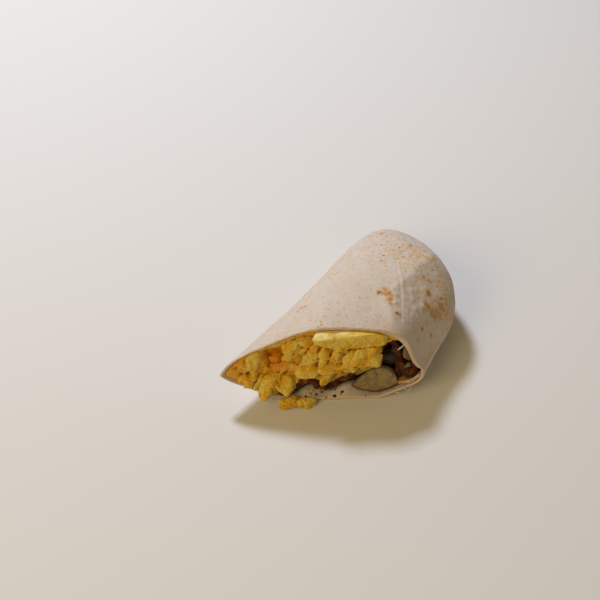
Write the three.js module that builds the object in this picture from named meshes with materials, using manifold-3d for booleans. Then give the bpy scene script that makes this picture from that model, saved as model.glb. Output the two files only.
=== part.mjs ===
// Half of a breakfast burrito, cut on the bias and lying on its flat underside.
// Millimetres, +Z up. +X runs along the roll towards its folded, closed end, +Y points to the long,
// pointed side of the cut, and the origin is on the underside, in the middle of the outline.
// The wrap is one open shell with a closed end. Its filling is scrambled egg with two bacon rashers
// and pieces of potato, each a solid of its own with a small gap to its neighbours.
import * as THREE from 'three';
import { mergeVertices } from 'three/addons/utils/BufferGeometryUtils.js';
import Module from 'manifold-3d';

const wasm = await Module();
wasm.setup();

const TAU = Math.PI * 2;
const GAP = 0.4;
const SMOOTHING = 0.12;
const AROUND = 60;
const OUTER_ROWS = 21;
const INNER_ROWS = 11;
const CORE_AROUND = 36;
const CORE_ROWS = 8;

// The roll. Sides and top are [value at the middle station, change per step, change per step squared].
const MIDDLE_X = 5.89;
const STEP = 50;
const LEFT_SIDE = [38.38, 1.6, -0.6];
const RIGHT_SIDE = [-40.12, 6.5, -2.9];
const TOP_HEIGHT = [47.0, -1.7, -0.8];
const WIDEST_HEIGHT = 18.8;
const FLAT_CUTOFF = 1.8;
const LOWER_FULLNESS = 0.82;
const CROWN_LEFT = 1.11;
const CROWN_RIGHT = 1.73;
const CROWN_FADE_X = -24.1;
const CROWN_FADE_LENGTH = 80;

// The closed end: where it finishes, how early the sides and the top start to close, and how square.
const END_X = 68.78;
const SIDE_CLOSING = 43.4;
const TOP_CLOSING = 48;
const SIDE_SQUARENESS_LEFT = 3.9;
const SIDE_SQUARENESS_RIGHT = 2.2;
const TOP_SQUARENESS = 3.2;
const END_HEIGHT = 9.9;
const END_SKEW = 12;
const SKEW_LENGTH = 80;

// The bias cut is the plane x = CUT_X + CUT_PER_Y * y + CUT_PER_Z * z. Its rim wobbles a little.
const CUT_X = -44.21;
const CUT_PER_Y = -0.766;
const CUT_PER_Z = 0.149;
const RIM_COSINES = [0.1, 0, 0.75, 0.16, 0.07, 0.52];
const RIM_SINES = [0.37, 0.94, 0.79, 0.68, -0.19, 0.9];
const RIM_FADE = 0.55;
const RIM_FADE_BELOW = 0.22;
const RIM_STEPS = 60;
const RIM_STEP_SHARE = 0.6;
// Stations stand closer together near the closed end.
const STATION_POWER = 1.6;
const TIP_REACH = 6.4;
const TIP_SPREAD = 0.36;
const TIP_FADE = 0.3;

// The tortilla: one layer at the sides and the top, several folded layers at the closed end.
const TORTILLA = 2.0;
const END_LAYERS = 8;

// A fold of the tortilla shows through as a shoulder that crosses the top aslant.
const SHOULDER_RISE = 0.8;
const SHOULDER_WIDTH = 10;
const SHOULDER_TURN_X = 19.19;
const SHOULDER_Y = -9.22;
const SHOULDER_SLOPE = 0.75;
const SHOULDER_SLOPE_BACK = -0.2;
const SHOULDER_END_POWER = 6;

// Inside the mouth the loose inner layer of the tortilla rises from the floor as two low mounds.
const MOUND_DEPTH = 8;
const MOUND_LENGTH = 6;
const MOUNDS = [
  { y: 7.7, rise: 4, width: 4 },
  { y: -8.3, rise: 5, width: 5.5 },
];

const clamp01 = (value) => Math.min(Math.max(value, 0), 1);
const smooth01 = (value) => value * value * (3 - 2 * value);
const blend = (from, to, share) => from + (to - from) * share;
const bell = (distance, width) => Math.exp(-((distance / width) ** 2));
const along = (rule, x) => {
  const steps = (x - MIDDLE_X) / STEP;
  return rule[0] + rule[1] * steps + rule[2] * steps * steps;
};
const cutX = (y, z) => CUT_X + CUT_PER_Y * y + CUT_PER_Z * z;

// Small repeatable random numbers between -1 and 1.
function randomSource(seed) {
  let state = seed;
  return () => {
    state = (state * 16807) % 2147483647;
    return (state / 2147483647) * 2 - 1;
  };
}

// The roll's section at station x, in the direction angle: 0 is the left side and 90 degrees the top.
function section(x, angle, inset, backInset) {
  const across = Math.cos(angle);
  const up = Math.sin(angle);
  const left = along(LEFT_SIDE, x) - inset;
  const right = along(RIGHT_SIDE, x) + inset;
  const centre = (left + right) / 2;
  const halfWidth = (left - right) / 2;
  const leftShare = 0.5 + 0.5 * across;
  const end = END_X - backInset;
  const sideClosing = clamp01((x - (end - SIDE_CLOSING)) / SIDE_CLOSING);
  const topClosing = clamp01((x - (end - TOP_CLOSING)) / TOP_CLOSING);
  const sideSquare = blend(SIDE_SQUARENESS_RIGHT, SIDE_SQUARENESS_LEFT, leftShare);
  const sideScale = (1 - sideClosing ** sideSquare) ** (1 / sideSquare);
  const topScale = (1 - topClosing ** TOP_SQUARENESS) ** (1 / TOP_SQUARENESS);
  const crownAtCut = blend(CROWN_RIGHT, CROWN_LEFT, leftShare);
  const crown = blend(crownAtCut, 1, clamp01((x - CROWN_FADE_X) / CROWN_FADE_LENGTH));
  const topRise = (along(TOP_HEIGHT, x) - inset - WIDEST_HEIGHT) * Math.abs(up) ** crown;
  const lowerDrop = (WIDEST_HEIGHT + FLAT_CUTOFF) * Math.abs(up) ** LOWER_FULLNESS;
  const lower = Math.max(WIDEST_HEIGHT - lowerDrop + inset * Math.abs(up), inset);
  const open = up >= 0 ? WIDEST_HEIGHT + topRise : lower;
  return {
    centre,
    halfWidth,
    y: centre + halfWidth * across * sideScale,
    z: END_HEIGHT + (open - END_HEIGHT) * topScale,
  };
}

// The rim's own wobble, outwards from the middle of the section.
function rimWobble(angle) {
  let wobble = 0;
  RIM_COSINES.forEach((size, i) => {
    wobble += size * Math.cos((i + 1) * angle) + RIM_SINES[i] * Math.sin((i + 1) * angle);
  });
  return wobble;
}

// The wobble fades out along the roll, sooner on the underside, which lies flat.
function shellSection(x, angle, inset, backInset, advance) {
  const shape = section(x, angle, inset, backInset);
  const wobble = rimWobble(angle);
  const fade = smooth01(clamp01(1 - advance / RIM_FADE));
  const fadeUpright = Math.sin(angle) < 0 ? smooth01(clamp01(1 - advance / RIM_FADE_BELOW)) : fade;
  shape.y += wobble * fade * Math.cos(angle);
  shape.z = Math.max(shape.z + wobble * fadeUpright * Math.sin(angle), inset);
  return shape;
}

// Where the direction angle of the section meets the bias cut, moved by cutShift along the roll.
function rimStation(angle, inset, backInset, cutShift) {
  let x = CUT_X;
  for (let i = 0; i < RIM_STEPS; i += 1) {
    const shape = shellSection(x, angle, inset, backInset, 0);
    x += RIM_STEP_SHARE * (cutX(shape.y, shape.z) + cutShift - x);
  }
  return x;
}

function shoulderLine(x) {
  const before = SHOULDER_Y + SHOULDER_SLOPE * (x - SHOULDER_TURN_X);
  const after = SHOULDER_Y + SHOULDER_SLOPE_BACK * (x - SHOULDER_TURN_X);
  return Math.min(before, after);
}

function moundHeight(x, y) {
  const depth = bell(x - cutX(y, 0) - MOUND_DEPTH, MOUND_LENGTH);
  return MOUNDS.reduce((sum, mound) => sum + depth * mound.rise * bell(y - mound.y, mound.width), 0);
}

// A point of the roll's skin: share 0 is at the cut and share 1 is the middle of the closed end.
function skinPoint(angle, share, layer) {
  const start = rimStation(angle, layer.inset, layer.backInset, layer.cutShift);
  const end = END_X - layer.backInset;
  const advance = 1 - (1 - share) ** STATION_POWER;
  const x = start + (end - start) * advance;
  const shape = shellSection(x, angle, layer.inset, layer.backInset, advance);
  const backShare = clamp01((x - (END_X - SKEW_LENGTH)) / SKEW_LENGTH);
  const skew = END_SKEW * ((shape.y - shape.centre) / shape.halfWidth) * backShare ** 2;
  const turn = angle > Math.PI ? angle - TAU : angle;
  const tip = TIP_REACH * Math.exp(-Math.abs(turn) / TIP_SPREAD) * clamp01(1 - share / TIP_FADE) ** 2;
  let z = shape.z;
  if (layer.outside && Math.sin(angle) > 0) {
    const fadeOut = 1 - advance ** SHOULDER_END_POWER;
    z += SHOULDER_RISE * bell(shape.y - shoulderLine(x), SHOULDER_WIDTH) * Math.sin(angle) * fadeOut;
  }
  if (layer.mound && Math.sin(angle) < 0) {
    z = Math.max(z, layer.inset + moundHeight(x, shape.y));
  }
  return new THREE.Vector3(x + skew + CUT_PER_Y * tip, shape.y + tip, z);
}

function gridRows(aroundCount, alongCount, layer) {
  const rows = [];
  for (let i = 0; i < alongCount; i += 1) {
    const row = [];
    for (let j = 0; j < aroundCount; j += 1) {
      row.push(skinPoint((j / aroundCount) * TAU, i / alongCount, layer));
    }
    rows.push(row);
  }
  return { rows, pole: skinPoint(0, 1, layer) };
}

// Collects vertices and triangles, and turns the whole body inside out if it faces inwards.
class Body {
  constructor() {
    this.points = [];
    this.triangles = [];
  }

  add(point) {
    this.points.push(point.x, point.y, point.z);
    return this.points.length / 3 - 1;
  }

  addRow(row) {
    return row.map((point) => this.add(point));
  }

  face(a, b, c) {
    this.triangles.push(a, b, c);
  }

  band(lower, upper) {
    lower.forEach((corner, j) => {
      const next = (j + 1) % lower.length;
      this.face(corner, lower[next], upper[next]);
      this.face(corner, upper[next], upper[j]);
    });
  }

  fan(ring, centre) {
    ring.forEach((corner, j) => this.face(corner, ring[(j + 1) % ring.length], centre));
  }

  geometry() {
    const corner = (i) => new THREE.Vector3().fromArray(this.points, this.triangles[i] * 3);
    let volume = 0;
    for (let i = 0; i < this.triangles.length; i += 3) {
      volume += corner(i).dot(corner(i + 1).cross(corner(i + 2)));
    }
    const order = volume > 0 ? this.triangles : this.triangles.slice().reverse();
    const geometry = new THREE.BufferGeometry();
    geometry.setAttribute('position', new THREE.Float32BufferAttribute(this.points, 3));
    geometry.setIndex(order);
    geometry.computeVertexNormals();
    return geometry;
  }
}

// The wrap: an outer and an inner skin, joined round the rim of the cut, all moved out by grow.
function wrapGeometry(grow, aroundCount, outerCount, innerCount) {
  const outerLayer = { inset: -grow, backInset: 0, cutShift: -grow, outside: true };
  const innerLayer = { inset: TORTILLA + grow, backInset: END_LAYERS, cutShift: -grow, mound: true };
  const outer = gridRows(aroundCount, outerCount, outerLayer);
  const inner = gridRows(aroundCount, innerCount, innerLayer);
  const body = new Body();
  const outerRows = outer.rows.map((row) => body.addRow(row));
  const innerRows = inner.rows.map((row) => body.addRow(row));
  for (let i = 1; i < outerCount; i += 1) body.band(outerRows[i - 1], outerRows[i]);
  body.fan(outerRows[outerCount - 1], body.add(outer.pole));
  body.band(innerRows[0], outerRows[0]);
  for (let i = 1; i < innerCount; i += 1) body.band(innerRows[i], innerRows[i - 1]);
  body.fan(innerRows[innerCount - 1].slice().reverse(), body.add(inner.pole));
  return body.geometry();
}

// The hollow of the wrap as a solid, from depth behind the cut to the closed end.
function hollowGeometry(inset, depth, aroundCount, alongCount) {
  const layer = { inset, backInset: END_LAYERS + 1, cutShift: depth, mound: true };
  const hollow = gridRows(aroundCount, alongCount, layer);
  const body = new Body();
  const rows = hollow.rows.map((row) => body.addRow(row));
  const front = new THREE.Vector3();
  hollow.rows[0].forEach((point) => front.add(point));
  front.divideScalar(aroundCount);
  body.fan(rows[0].slice().reverse(), body.add(front));
  for (let i = 1; i < alongCount; i += 1) body.band(rows[i - 1], rows[i]);
  body.fan(rows[alongCount - 1], body.add(hollow.pole));
  return body.geometry();
}

// A rasher: a wavy strip whose front edge follows path, a line of [y, z, depth behind the cut],
// and which runs back along the roll to backDepth. grow makes it larger on all sides.
function rasherGeometry(rasher, grow) {
  const curve = new THREE.CatmullRomCurve3(
    rasher.path.map(([y, z, depth]) => new THREE.Vector3(depth, y, z)),
  );
  const length = curve.getLength();
  const alongCount = Math.round(rasher.backDepth / RASHER_STEP);
  const acrossCount = Math.round(length / RASHER_STEP);
  const faces = [1, -1].map((side) => {
    const rows = [];
    for (let i = 0; i <= alongCount; i += 1) {
      const row = [];
      for (let j = 0; j <= acrossCount; j += 1) {
        const share = j / acrossCount;
        const point = curve.getPointAt(share);
        const slope = curve.getTangentAt(share).setX(0).normalize();
        const depth = blend(point.x - grow, rasher.backDepth + grow, i / alongCount);
        const phase = depth / rasher.waveLength + share * WAVE_TURN;
        const wave = rasher.wave * Math.sin(phase) * clamp01((depth - point.x) / WAVE_START);
        const edge = Math.min(share, 1 - share) * length;
        const half = (RASHER_THICKNESS / 2) * blend(EDGE_SHARE, 1, clamp01(edge / EDGE_LENGTH)) + grow;
        const lift = wave + side * half;
        const beyond = j === 0 ? -grow : j === acrossCount ? grow : 0;
        const y = point.y - slope.z * lift + slope.y * beyond;
        const z = point.z + slope.y * lift + slope.z * beyond;
        row.push(new THREE.Vector3(cutX(y, z) + depth, y + rasher.drift * depth, z));
      }
      rows.push(row);
    }
    return rows;
  });
  const body = new Body();
  const [top, bottom] = faces.map((rows) => rows.map((row) => body.addRow(row)));
  for (let i = 0; i < alongCount; i += 1) {
    for (let j = 0; j < acrossCount; j += 1) {
      body.face(top[i][j], top[i][j + 1], top[i + 1][j + 1]);
      body.face(top[i][j], top[i + 1][j + 1], top[i + 1][j]);
      body.face(bottom[i][j], bottom[i + 1][j + 1], bottom[i][j + 1]);
      body.face(bottom[i][j], bottom[i + 1][j], bottom[i + 1][j + 1]);
    }
  }
  const edgeLoop = (rows) => [
    ...rows[0],
    ...rows.slice(1).map((row) => row[acrossCount]),
    ...rows[alongCount].slice(0, -1).reverse(),
    ...rows.slice(1, -1).map((row) => row[0]).reverse(),
  ];
  body.band(edgeLoop(bottom), edgeLoop(top));
  return body.geometry();
}

// A chunk cut flush with the bias: an outline in the plane of the cut with rounded front and back
// edges, thick along the roll. radius(angle) is the outline's distance from its middle.
const CHUNK_LEAST = 0.4;
const CHUNK_FRONT_BULGE = 0.2;
const CHUNK_BACK_BULGE = 0.4;
function chunkGeometry(radius, thickness, round, sides) {
  const ring = (scale, depth) => {
    const row = [];
    for (let j = 0; j < sides; j += 1) {
      const angle = (j / sides) * TAU;
      const reach = Math.max(radius(angle) - scale, CHUNK_LEAST);
      const y = reach * Math.cos(angle);
      const z = reach * Math.sin(angle);
      row.push(new THREE.Vector3(CUT_PER_Y * y + CUT_PER_Z * z + depth, y, z));
    }
    return row;
  };
  const body = new Body();
  const rows = [
    ring(round, 0),
    ring(0, round * 0.8),
    ring(round * 0.3, thickness - round),
    ring(round * 1.4, thickness),
  ].map((row) => body.addRow(row));
  const front = body.add(new THREE.Vector3(-CHUNK_FRONT_BULGE, 0, 0));
  const back = body.add(new THREE.Vector3(thickness + CHUNK_BACK_BULGE, 0, 0));
  body.fan(rows[0].slice().reverse(), front);
  for (let i = 1; i < rows.length; i += 1) body.band(rows[i - 1], rows[i]);
  body.fan(rows[rows.length - 1], back);
  return body.geometry();
}

// A soft curd: a ball with a few low swellings.
const SWELLINGS = 5;
const SWELLING_SIZE = 0.2;
const SWELLING_WIDTH = 0.35;
const CURD_CORE = 0.9;
function curdGeometry(radii, seed, detail) {
  const random = randomSource(seed);
  const geometry = new THREE.IcosahedronGeometry(1, detail);
  geometry.deleteAttribute('normal');
  geometry.deleteAttribute('uv');
  const merged = mergeVertices(geometry, 1e-4);
  const swellings = [];
  for (let i = 0; i < SWELLINGS; i += 1) {
    swellings.push(new THREE.Vector3(random(), random(), random()).normalize());
  }
  const position = merged.getAttribute('position');
  const point = new THREE.Vector3();
  for (let i = 0; i < position.count; i += 1) {
    point.fromBufferAttribute(position, i).normalize();
    let reach = CURD_CORE;
    swellings.forEach((direction) => {
      reach += SWELLING_SIZE * bell(1 - point.dot(direction), SWELLING_WIDTH);
    });
    position.setXYZ(i, point.x * radii[0] * reach, point.y * radii[1] * reach, point.z * radii[2] * reach);
  }
  return merged;
}

function toSolid(geometry) {
  const bare = geometry.clone();
  bare.deleteAttribute('normal');
  bare.deleteAttribute('uv');
  const merged = mergeVertices(bare, 1e-4);
  return new wasm.Manifold(new wasm.Mesh({
    numProp: 3,
    vertProperties: new Float32Array(merged.getAttribute('position').array),
    triVerts: new Uint32Array(merged.getIndex().array),
  }));
}

function fromSolid(solid) {
  const mesh = solid.getMesh();
  const geometry = new THREE.BufferGeometry();
  geometry.setAttribute('position', new THREE.BufferAttribute(mesh.vertProperties, 3));
  geometry.setIndex(new THREE.BufferAttribute(mesh.triVerts, 1));
  geometry.computeVertexNormals();
  return geometry;
}

function largestPiece(solid) {
  return solid.decompose().reduce((best, piece) => (piece.volume() > best.volume() ? piece : best));
}

// A place on the cut, depth mm behind its plane along the roll.
const onCut = (y, z, depth) => new THREE.Vector3(cutX(y, z) + depth, y, z);

// The egg: a core through the roll and the curds that show. Each curd is
// [y, z, depth behind the cut, half its width, half its height].
const EGG_FACE_DEPTH = 6;
const CURD_HALF_LENGTH = 5.2;
const CURD_LENGTH_SHARE = 1.25;
const CURDS = [
  [39.2, 15.7, 4.5, 3.4, 3.5],
  [35.7, 19.1, 4.5, 4.0, 4.5],
  [29.4, 21.8, 3.5, 5.8, 7.7],
  [32.1, 12.8, 2.5, 4.9, 4.5],
  [25.9, 11.0, 0, 4.3, 5.7],
  [21.6, 8.9, -1, 4.6, 7.0],
  [20.5, 18.0, 3.5, 7.4, 4.1],
  [21.7, 21.6, 8.5, 8.0, 3.8],
  [16.2, 10.7, 1.5, 5.5, 7.0],
  [18.0, 28.4, 5.5, 5.8, 5.7],
  [13.4, 33.0, 5.5, 5.8, 4.5],
  [27.5, 26.4, 9.5, 4.3, 3.2],
  [11.5, 23.8, 6.5, 4.9, 5.1],
  [8.8, 17.3, 4.5, 6.2, 4.5],
  [1.8, 37.1, 2.5, 9.2, 4.5],
  [-6.0, 37.3, 1.5, 10.5, 5.7],
  [-13.8, 36.9, 1.5, 10.5, 5.1],
  [-21.9, 34.8, 3.5, 7.4, 3.8],
  [3.7, 22.7, 6.5, 3.4, 6.4],
  [-0.3, 21.9, 5.5, 4.6, 6.4],
  [-8.0, 21.6, 4.5, 4.6, 6.1],
  [-16.4, 23.1, 3.5, 9.5, 8.0],
  [1.4, 13.6, 3.5, 4.9, 5.4],
  [-4.0, 14.0, 3.5, 5.5, 4.5],
  [-9.6, 16.3, 3.5, 4.9, 4.1],
];
const CURD_DETAIL = 2;
const SMALL_CURD_DETAIL = 1;
const SMALL_CURD = 5;
const FIRST_SEED = 11;
const SEED_STEP = 37;
const POCKET = { y: -25.4, z: 25.5, depth: 7, radii: [10, 3.6, 8.5], seed: 5 };

// The rashers. drift turns one from straight along the roll, per mm of depth.
const RASHER_THICKNESS = 2.2;
const RASHER_STEP = 3.8;
const WAVE_TURN = 5;
const WAVE_START = 8;
const EDGE_SHARE = 0.55;
const EDGE_LENGTH = 3;
const RASHERS = [
  {
    name: 'bacon_lower',
    path: [[14.8, 3.6, 0], [11.2, 5.4, 1], [9.4, 9.1, 4], [7.2, 9.9, 5], [3.7, 7.8, 4], [-0.8, 6.2, 3],
      [-4.3, 7.8, 4], [-8.6, 10.6, 6], [-11.4, 12.3, 7]],
    backDepth: 46,
    drift: 0.03,
    wave: 0.5,
    waveLength: 4.5,
  },
  {
    name: 'bacon_right',
    path: [[-25.7, 35.2, 4], [-28.9, 28.6, 4], [-30.1, 23.5, 4], [-30.7, 18.4, 5], [-32.0, 13.6, 5],
      [-35.7, 11.9, 2.5], [-38.0, 13.6, 2], [-37.6, 17, 2.5], [-35.2, 17.6, 4]],
    backDepth: 36,
    drift: 0.22,
    wave: 0.4,
    waveLength: 4,
  },
];

const wrap = wrapGeometry(0, AROUND, OUTER_ROWS, INNER_ROWS);

const wrapRoom = toSolid(wrapGeometry(GAP, AROUND, OUTER_ROWS, INNER_ROWS));

RASHERS.forEach((rasher) => {
  rasher.solid = largestPiece(toSolid(rasherGeometry(rasher, 0)).subtract(wrapRoom));
  rasher.room = toSolid(rasherGeometry(rasher, GAP));
});

// The potato: a round-edged slice, a cube deeper in the roll and a small bit beside the rasher.
const POTATO = [
  {
    name: 'potato_slice',
    place: onCut(-22.0, 11.6, 2),
    radius: (angle) => 8.7 + 0.75 * Math.cos(2 * angle) + 0.3 * Math.cos(3 * angle),
    thickness: 7,
    round: 0.9,
    sides: 24,
  },
  {
    name: 'potato_cube',
    place: onCut(-22.3, 17.5, 10.5),
    radius: (angle) => 5 + 0.6 * Math.cos(4 * angle + 0.5),
    thickness: 9,
    round: 1.2,
    sides: 14,
  },
  {
    name: 'potato_bit',
    place: onCut(-33.2, 27, 2),
    radius: (angle) => 2.2 + 0.5 * Math.cos(2 * angle - 0.6),
    thickness: 5,
    round: 0.7,
    sides: 12,
  },
];
POTATO.forEach((piece) => {
  const { x, y, z } = piece.place;
  const whole = toSolid(chunkGeometry(piece.radius, piece.thickness, piece.round, piece.sides));
  let solid = whole.translate([x, y, z]).subtract(wrapRoom);
  RASHERS.forEach((rasher) => {
    solid = solid.subtract(rasher.room);
  });
  piece.solid = largestPiece(solid).translate([-x, -y, -z]);
  const grownRadius = (angle) => piece.radius(angle) + GAP;
  const grown = chunkGeometry(grownRadius, piece.thickness + 2 * GAP, piece.round, piece.sides);
  piece.room = toSolid(grown).translate([x - GAP, y, z]);
});

let egg = toSolid(hollowGeometry(TORTILLA + 2 * GAP, EGG_FACE_DEPTH, CORE_AROUND, CORE_ROWS));
CURDS.forEach(([y, z, depth, halfWidth, halfHeight], i) => {
  const place = onCut(y, z, depth);
  const halfLength = Math.min(CURD_HALF_LENGTH, CURD_LENGTH_SHARE * halfWidth);
  const detail = Math.max(halfWidth, halfHeight) < SMALL_CURD ? SMALL_CURD_DETAIL : CURD_DETAIL;
  const curd = toSolid(curdGeometry([halfLength, halfWidth, halfHeight], FIRST_SEED + i * SEED_STEP, detail));
  egg = egg.add(curd.translate([place.x, place.y, place.z]));
});
// Between the curds and the rasher at the right the filling is open, as deep as a finger's width.
const pocketPlace = onCut(POCKET.y, POCKET.z, POCKET.depth);
const pocket = toSolid(curdGeometry(POCKET.radii, POCKET.seed, CURD_DETAIL));
egg = egg.subtract(pocket.translate([pocketPlace.x, pocketPlace.y, pocketPlace.z]));
egg = egg.subtract(wrapRoom);
RASHERS.forEach((rasher) => {
  egg = egg.subtract(rasher.room);
});
POTATO.forEach((piece) => {
  egg = egg.subtract(piece.room);
});

// Two small pieces of egg have dropped just outside the lower lip and lie flat beside it.
const DROPPED = [
  { name: 'egg_piece_left', place: [-56.4, 9.6, 2.7], radii: [2.9, 4.6, 2.8], seed: 901 },
  { name: 'egg_piece_right', place: [-51.2, 2.4, 2.5], radii: [2.7, 3.5, 2.5], seed: 77 },
];
const FLOOR_CLEARANCE = 0.3;
DROPPED.forEach((piece) => {
  const whole = toSolid(curdGeometry(piece.radii, piece.seed, CURD_DETAIL)).translate(piece.place);
  const open = whole.trimByPlane([0, 0, 1], FLOOR_CLEARANCE).subtract(wrapRoom).subtract(RASHERS[0].room);
  piece.solid = largestPiece(open);
  const room = toSolid(curdGeometry(piece.radii.map((radius) => radius + GAP), piece.seed, CURD_DETAIL));
  egg = egg.subtract(room.translate(piece.place));
});
egg = largestPiece(egg.simplify(SMOOTHING));

const tortillaMaterial = new THREE.MeshStandardMaterial({ color: 0xd3c0a8, roughness: 0.75, metalness: 0 });
const eggMaterial = new THREE.MeshStandardMaterial({ color: 0xd9a520, roughness: 0.5, metalness: 0 });
const baconMaterial = new THREE.MeshStandardMaterial({ color: 0x5a2412, roughness: 0.4, metalness: 0 });
const potatoMaterial = new THREE.MeshStandardMaterial({ color: 0xa8905f, roughness: 0.6, metalness: 0 });

function namedMesh(name, geometry, material) {
  const mesh = new THREE.Mesh(geometry, material);
  mesh.name = name;
  return mesh;
}

const burrito = new THREE.Group();
burrito.name = 'breakfast_burrito_half';
burrito.add(namedMesh('tortilla_wrap', wrap, tortillaMaterial));

const filling = new THREE.Group();
filling.name = 'filling';
filling.add(namedMesh('scrambled_egg', fromSolid(egg), eggMaterial));
RASHERS.forEach((rasher) => {
  filling.add(namedMesh(rasher.name, fromSolid(rasher.solid), baconMaterial));
});
POTATO.forEach((piece) => {
  const mesh = namedMesh(piece.name, fromSolid(piece.solid), potatoMaterial);
  mesh.position.copy(piece.place);
  filling.add(mesh);
});
DROPPED.forEach((piece) => {
  filling.add(namedMesh(piece.name, fromSolid(piece.solid), eggMaterial));
});
burrito.add(filling);

export default burrito;
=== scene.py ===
import math
from itertools import product

import bpy
import numpy as np
from mathutils import Matrix


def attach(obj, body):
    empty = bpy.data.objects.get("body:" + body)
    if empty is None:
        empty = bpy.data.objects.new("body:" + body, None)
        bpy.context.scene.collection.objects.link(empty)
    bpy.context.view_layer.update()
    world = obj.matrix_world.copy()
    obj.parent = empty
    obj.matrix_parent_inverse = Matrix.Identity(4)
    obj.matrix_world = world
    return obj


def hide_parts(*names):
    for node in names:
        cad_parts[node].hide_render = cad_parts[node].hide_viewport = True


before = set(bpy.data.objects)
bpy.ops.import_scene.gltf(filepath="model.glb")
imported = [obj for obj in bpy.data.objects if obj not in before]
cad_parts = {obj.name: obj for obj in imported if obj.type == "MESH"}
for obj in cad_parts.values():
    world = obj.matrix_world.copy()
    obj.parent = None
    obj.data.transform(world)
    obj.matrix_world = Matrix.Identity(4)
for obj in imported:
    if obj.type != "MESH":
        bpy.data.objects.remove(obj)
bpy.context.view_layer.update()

# The tortilla: one soft wheat tortilla about 2 mm thick, folded in at the far end and rolled round
# the filling, then cut through on the bias. The brown rings and freckles come from the griddle it
# was baked on. All shapes are worked out in mm and put into their meshes in metres.
MM = 0.001
MIDDLE_X, STEP = 5.89, 50
LEFT_SIDE = (38.38, 1.6, -0.6)
RIGHT_SIDE = (-40.12, 6.5, -2.9)
TOP_HEIGHT = (47.0, -1.7, -0.8)
WIDEST_HEIGHT, FLAT_CUTOFF, LOWER_FULLNESS = 18.8, 1.8, 0.82
CROWN_LEFT, CROWN_RIGHT, CROWN_FADE_X, CROWN_FADE_LENGTH = 1.11, 1.73, -24.1, 80
END_X, SIDE_CLOSING, TOP_CLOSING = 68.78, 43.4, 48
SIDE_SQUARENESS_LEFT, SIDE_SQUARENESS_RIGHT, TOP_SQUARENESS = 3.9, 2.2, 3.2
END_HEIGHT, END_SKEW, SKEW_LENGTH = 9.9, 12, 80
CUT_X, CUT_PER_Y, CUT_PER_Z = -44.21, -0.766, 0.149
CUT_OUTWARDS, SLANT = np.array([-0.79, -0.6, 0.12]), math.hypot(1, CUT_PER_Y)
RIM_COSINES = (0.1, 0, 0.75, 0.16, 0.07, 0.52)
RIM_SINES = (0.37, 0.94, 0.79, 0.68, -0.19, 0.9)
RIM_FADE, RIM_FADE_BELOW, RIM_STEPS, RIM_STEP_SHARE = 0.55, 0.22, 60, 0.6
TIP_REACH, TIP_SPREAD, TIP_FADE, ROW_CROWDING = 6.4, 0.36, 0.3, 1.6
TORTILLA, END_LAYERS = 2.0, 8
SHOULDER_RISE, SHOULDER_WIDTH, SHOULDER_TURN_X, SHOULDER_Y = 0.8, 10, 19.19, -9.22
SHOULDER_SLOPE, SHOULDER_SLOPE_BACK = 0.75, -0.2
MOUND_DEPTH, MOUND_LENGTH = 8, 6
MOUNDS = ((7.7, 4, 4), (-8.3, 5, 5.5))


def clamp01(value):
    """The value, held between 0 and 1."""
    return np.clip(value, 0, 1)


def smooth01(value):
    """0 below 0, 1 above 1, and an S-curve between them."""
    share = clamp01(value)
    return share * share * (3 - 2 * share)


def bell(distance, width):
    """1 at no distance, falling off as a bell of this width."""
    return np.exp(-((distance / width) ** 2))


def along(rule, x):
    """A quadratic rule along the roll: its value at the middle, its slope and its bend."""
    steps = (x - MIDDLE_X) / STEP
    return rule[0] + rule[1] * steps + rule[2] * steps**2


def cut_x(y, z):
    """Where the plane of the cut stands along the roll at this side and height."""
    return CUT_X + CUT_PER_Y * y + CUT_PER_Z * z


STIR_PLACE = [np.uint32(n) for n in (374761393, 668265263, 1274126177)]
STIR_BITS = [(np.uint32(13), np.uint32(1103515245)), (np.uint32(15), np.uint32(2246822519))]


def lattice(ix, iy, iz, seed):
    """A repeatable random number from -1 to 1 at each whole-number place: the place times large odd
    numbers, with its upper bits stirred into its lower ones."""
    h = sum(i.astype(np.uint32) * odd for i, odd in zip((ix, iy, iz), STIR_PLACE))
    h = h + np.uint32(seed * 7919 + 13)
    for shift, odd in STIR_BITS:
        h = (h ^ (h >> shift)) * odd
    return (h ^ (h >> np.uint32(16))) / 2.0**31 - 1.0


def noise(x, y, z, size, seed):
    """Smooth random swellings from -1 to 1, about size mm apart: random numbers at the corners of a
    cubic grid of that size, blended with an S-curve inside each cube."""
    place = [np.asarray(v, float) / size for v in (x, y, z)]
    low = [np.floor(v) for v in place]
    ease = [smooth01(v - f) for v, f in zip(place, low)]
    base = [f.astype(np.int64) for f in low]
    total = 0
    for corner in product((0, 1), repeat=3):
        share = math.prod(e if c else 1 - e for e, c in zip(ease, corner))
        total = total + share * lattice(*[b + c for b, c in zip(base, corner)], seed)
    return total


def noises(x, y, z, *layers):
    """The sum of several noises, each given as its height, size and seed."""
    return sum(height * noise(x, y, z, size, seed) for height, size, seed in layers)


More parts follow.
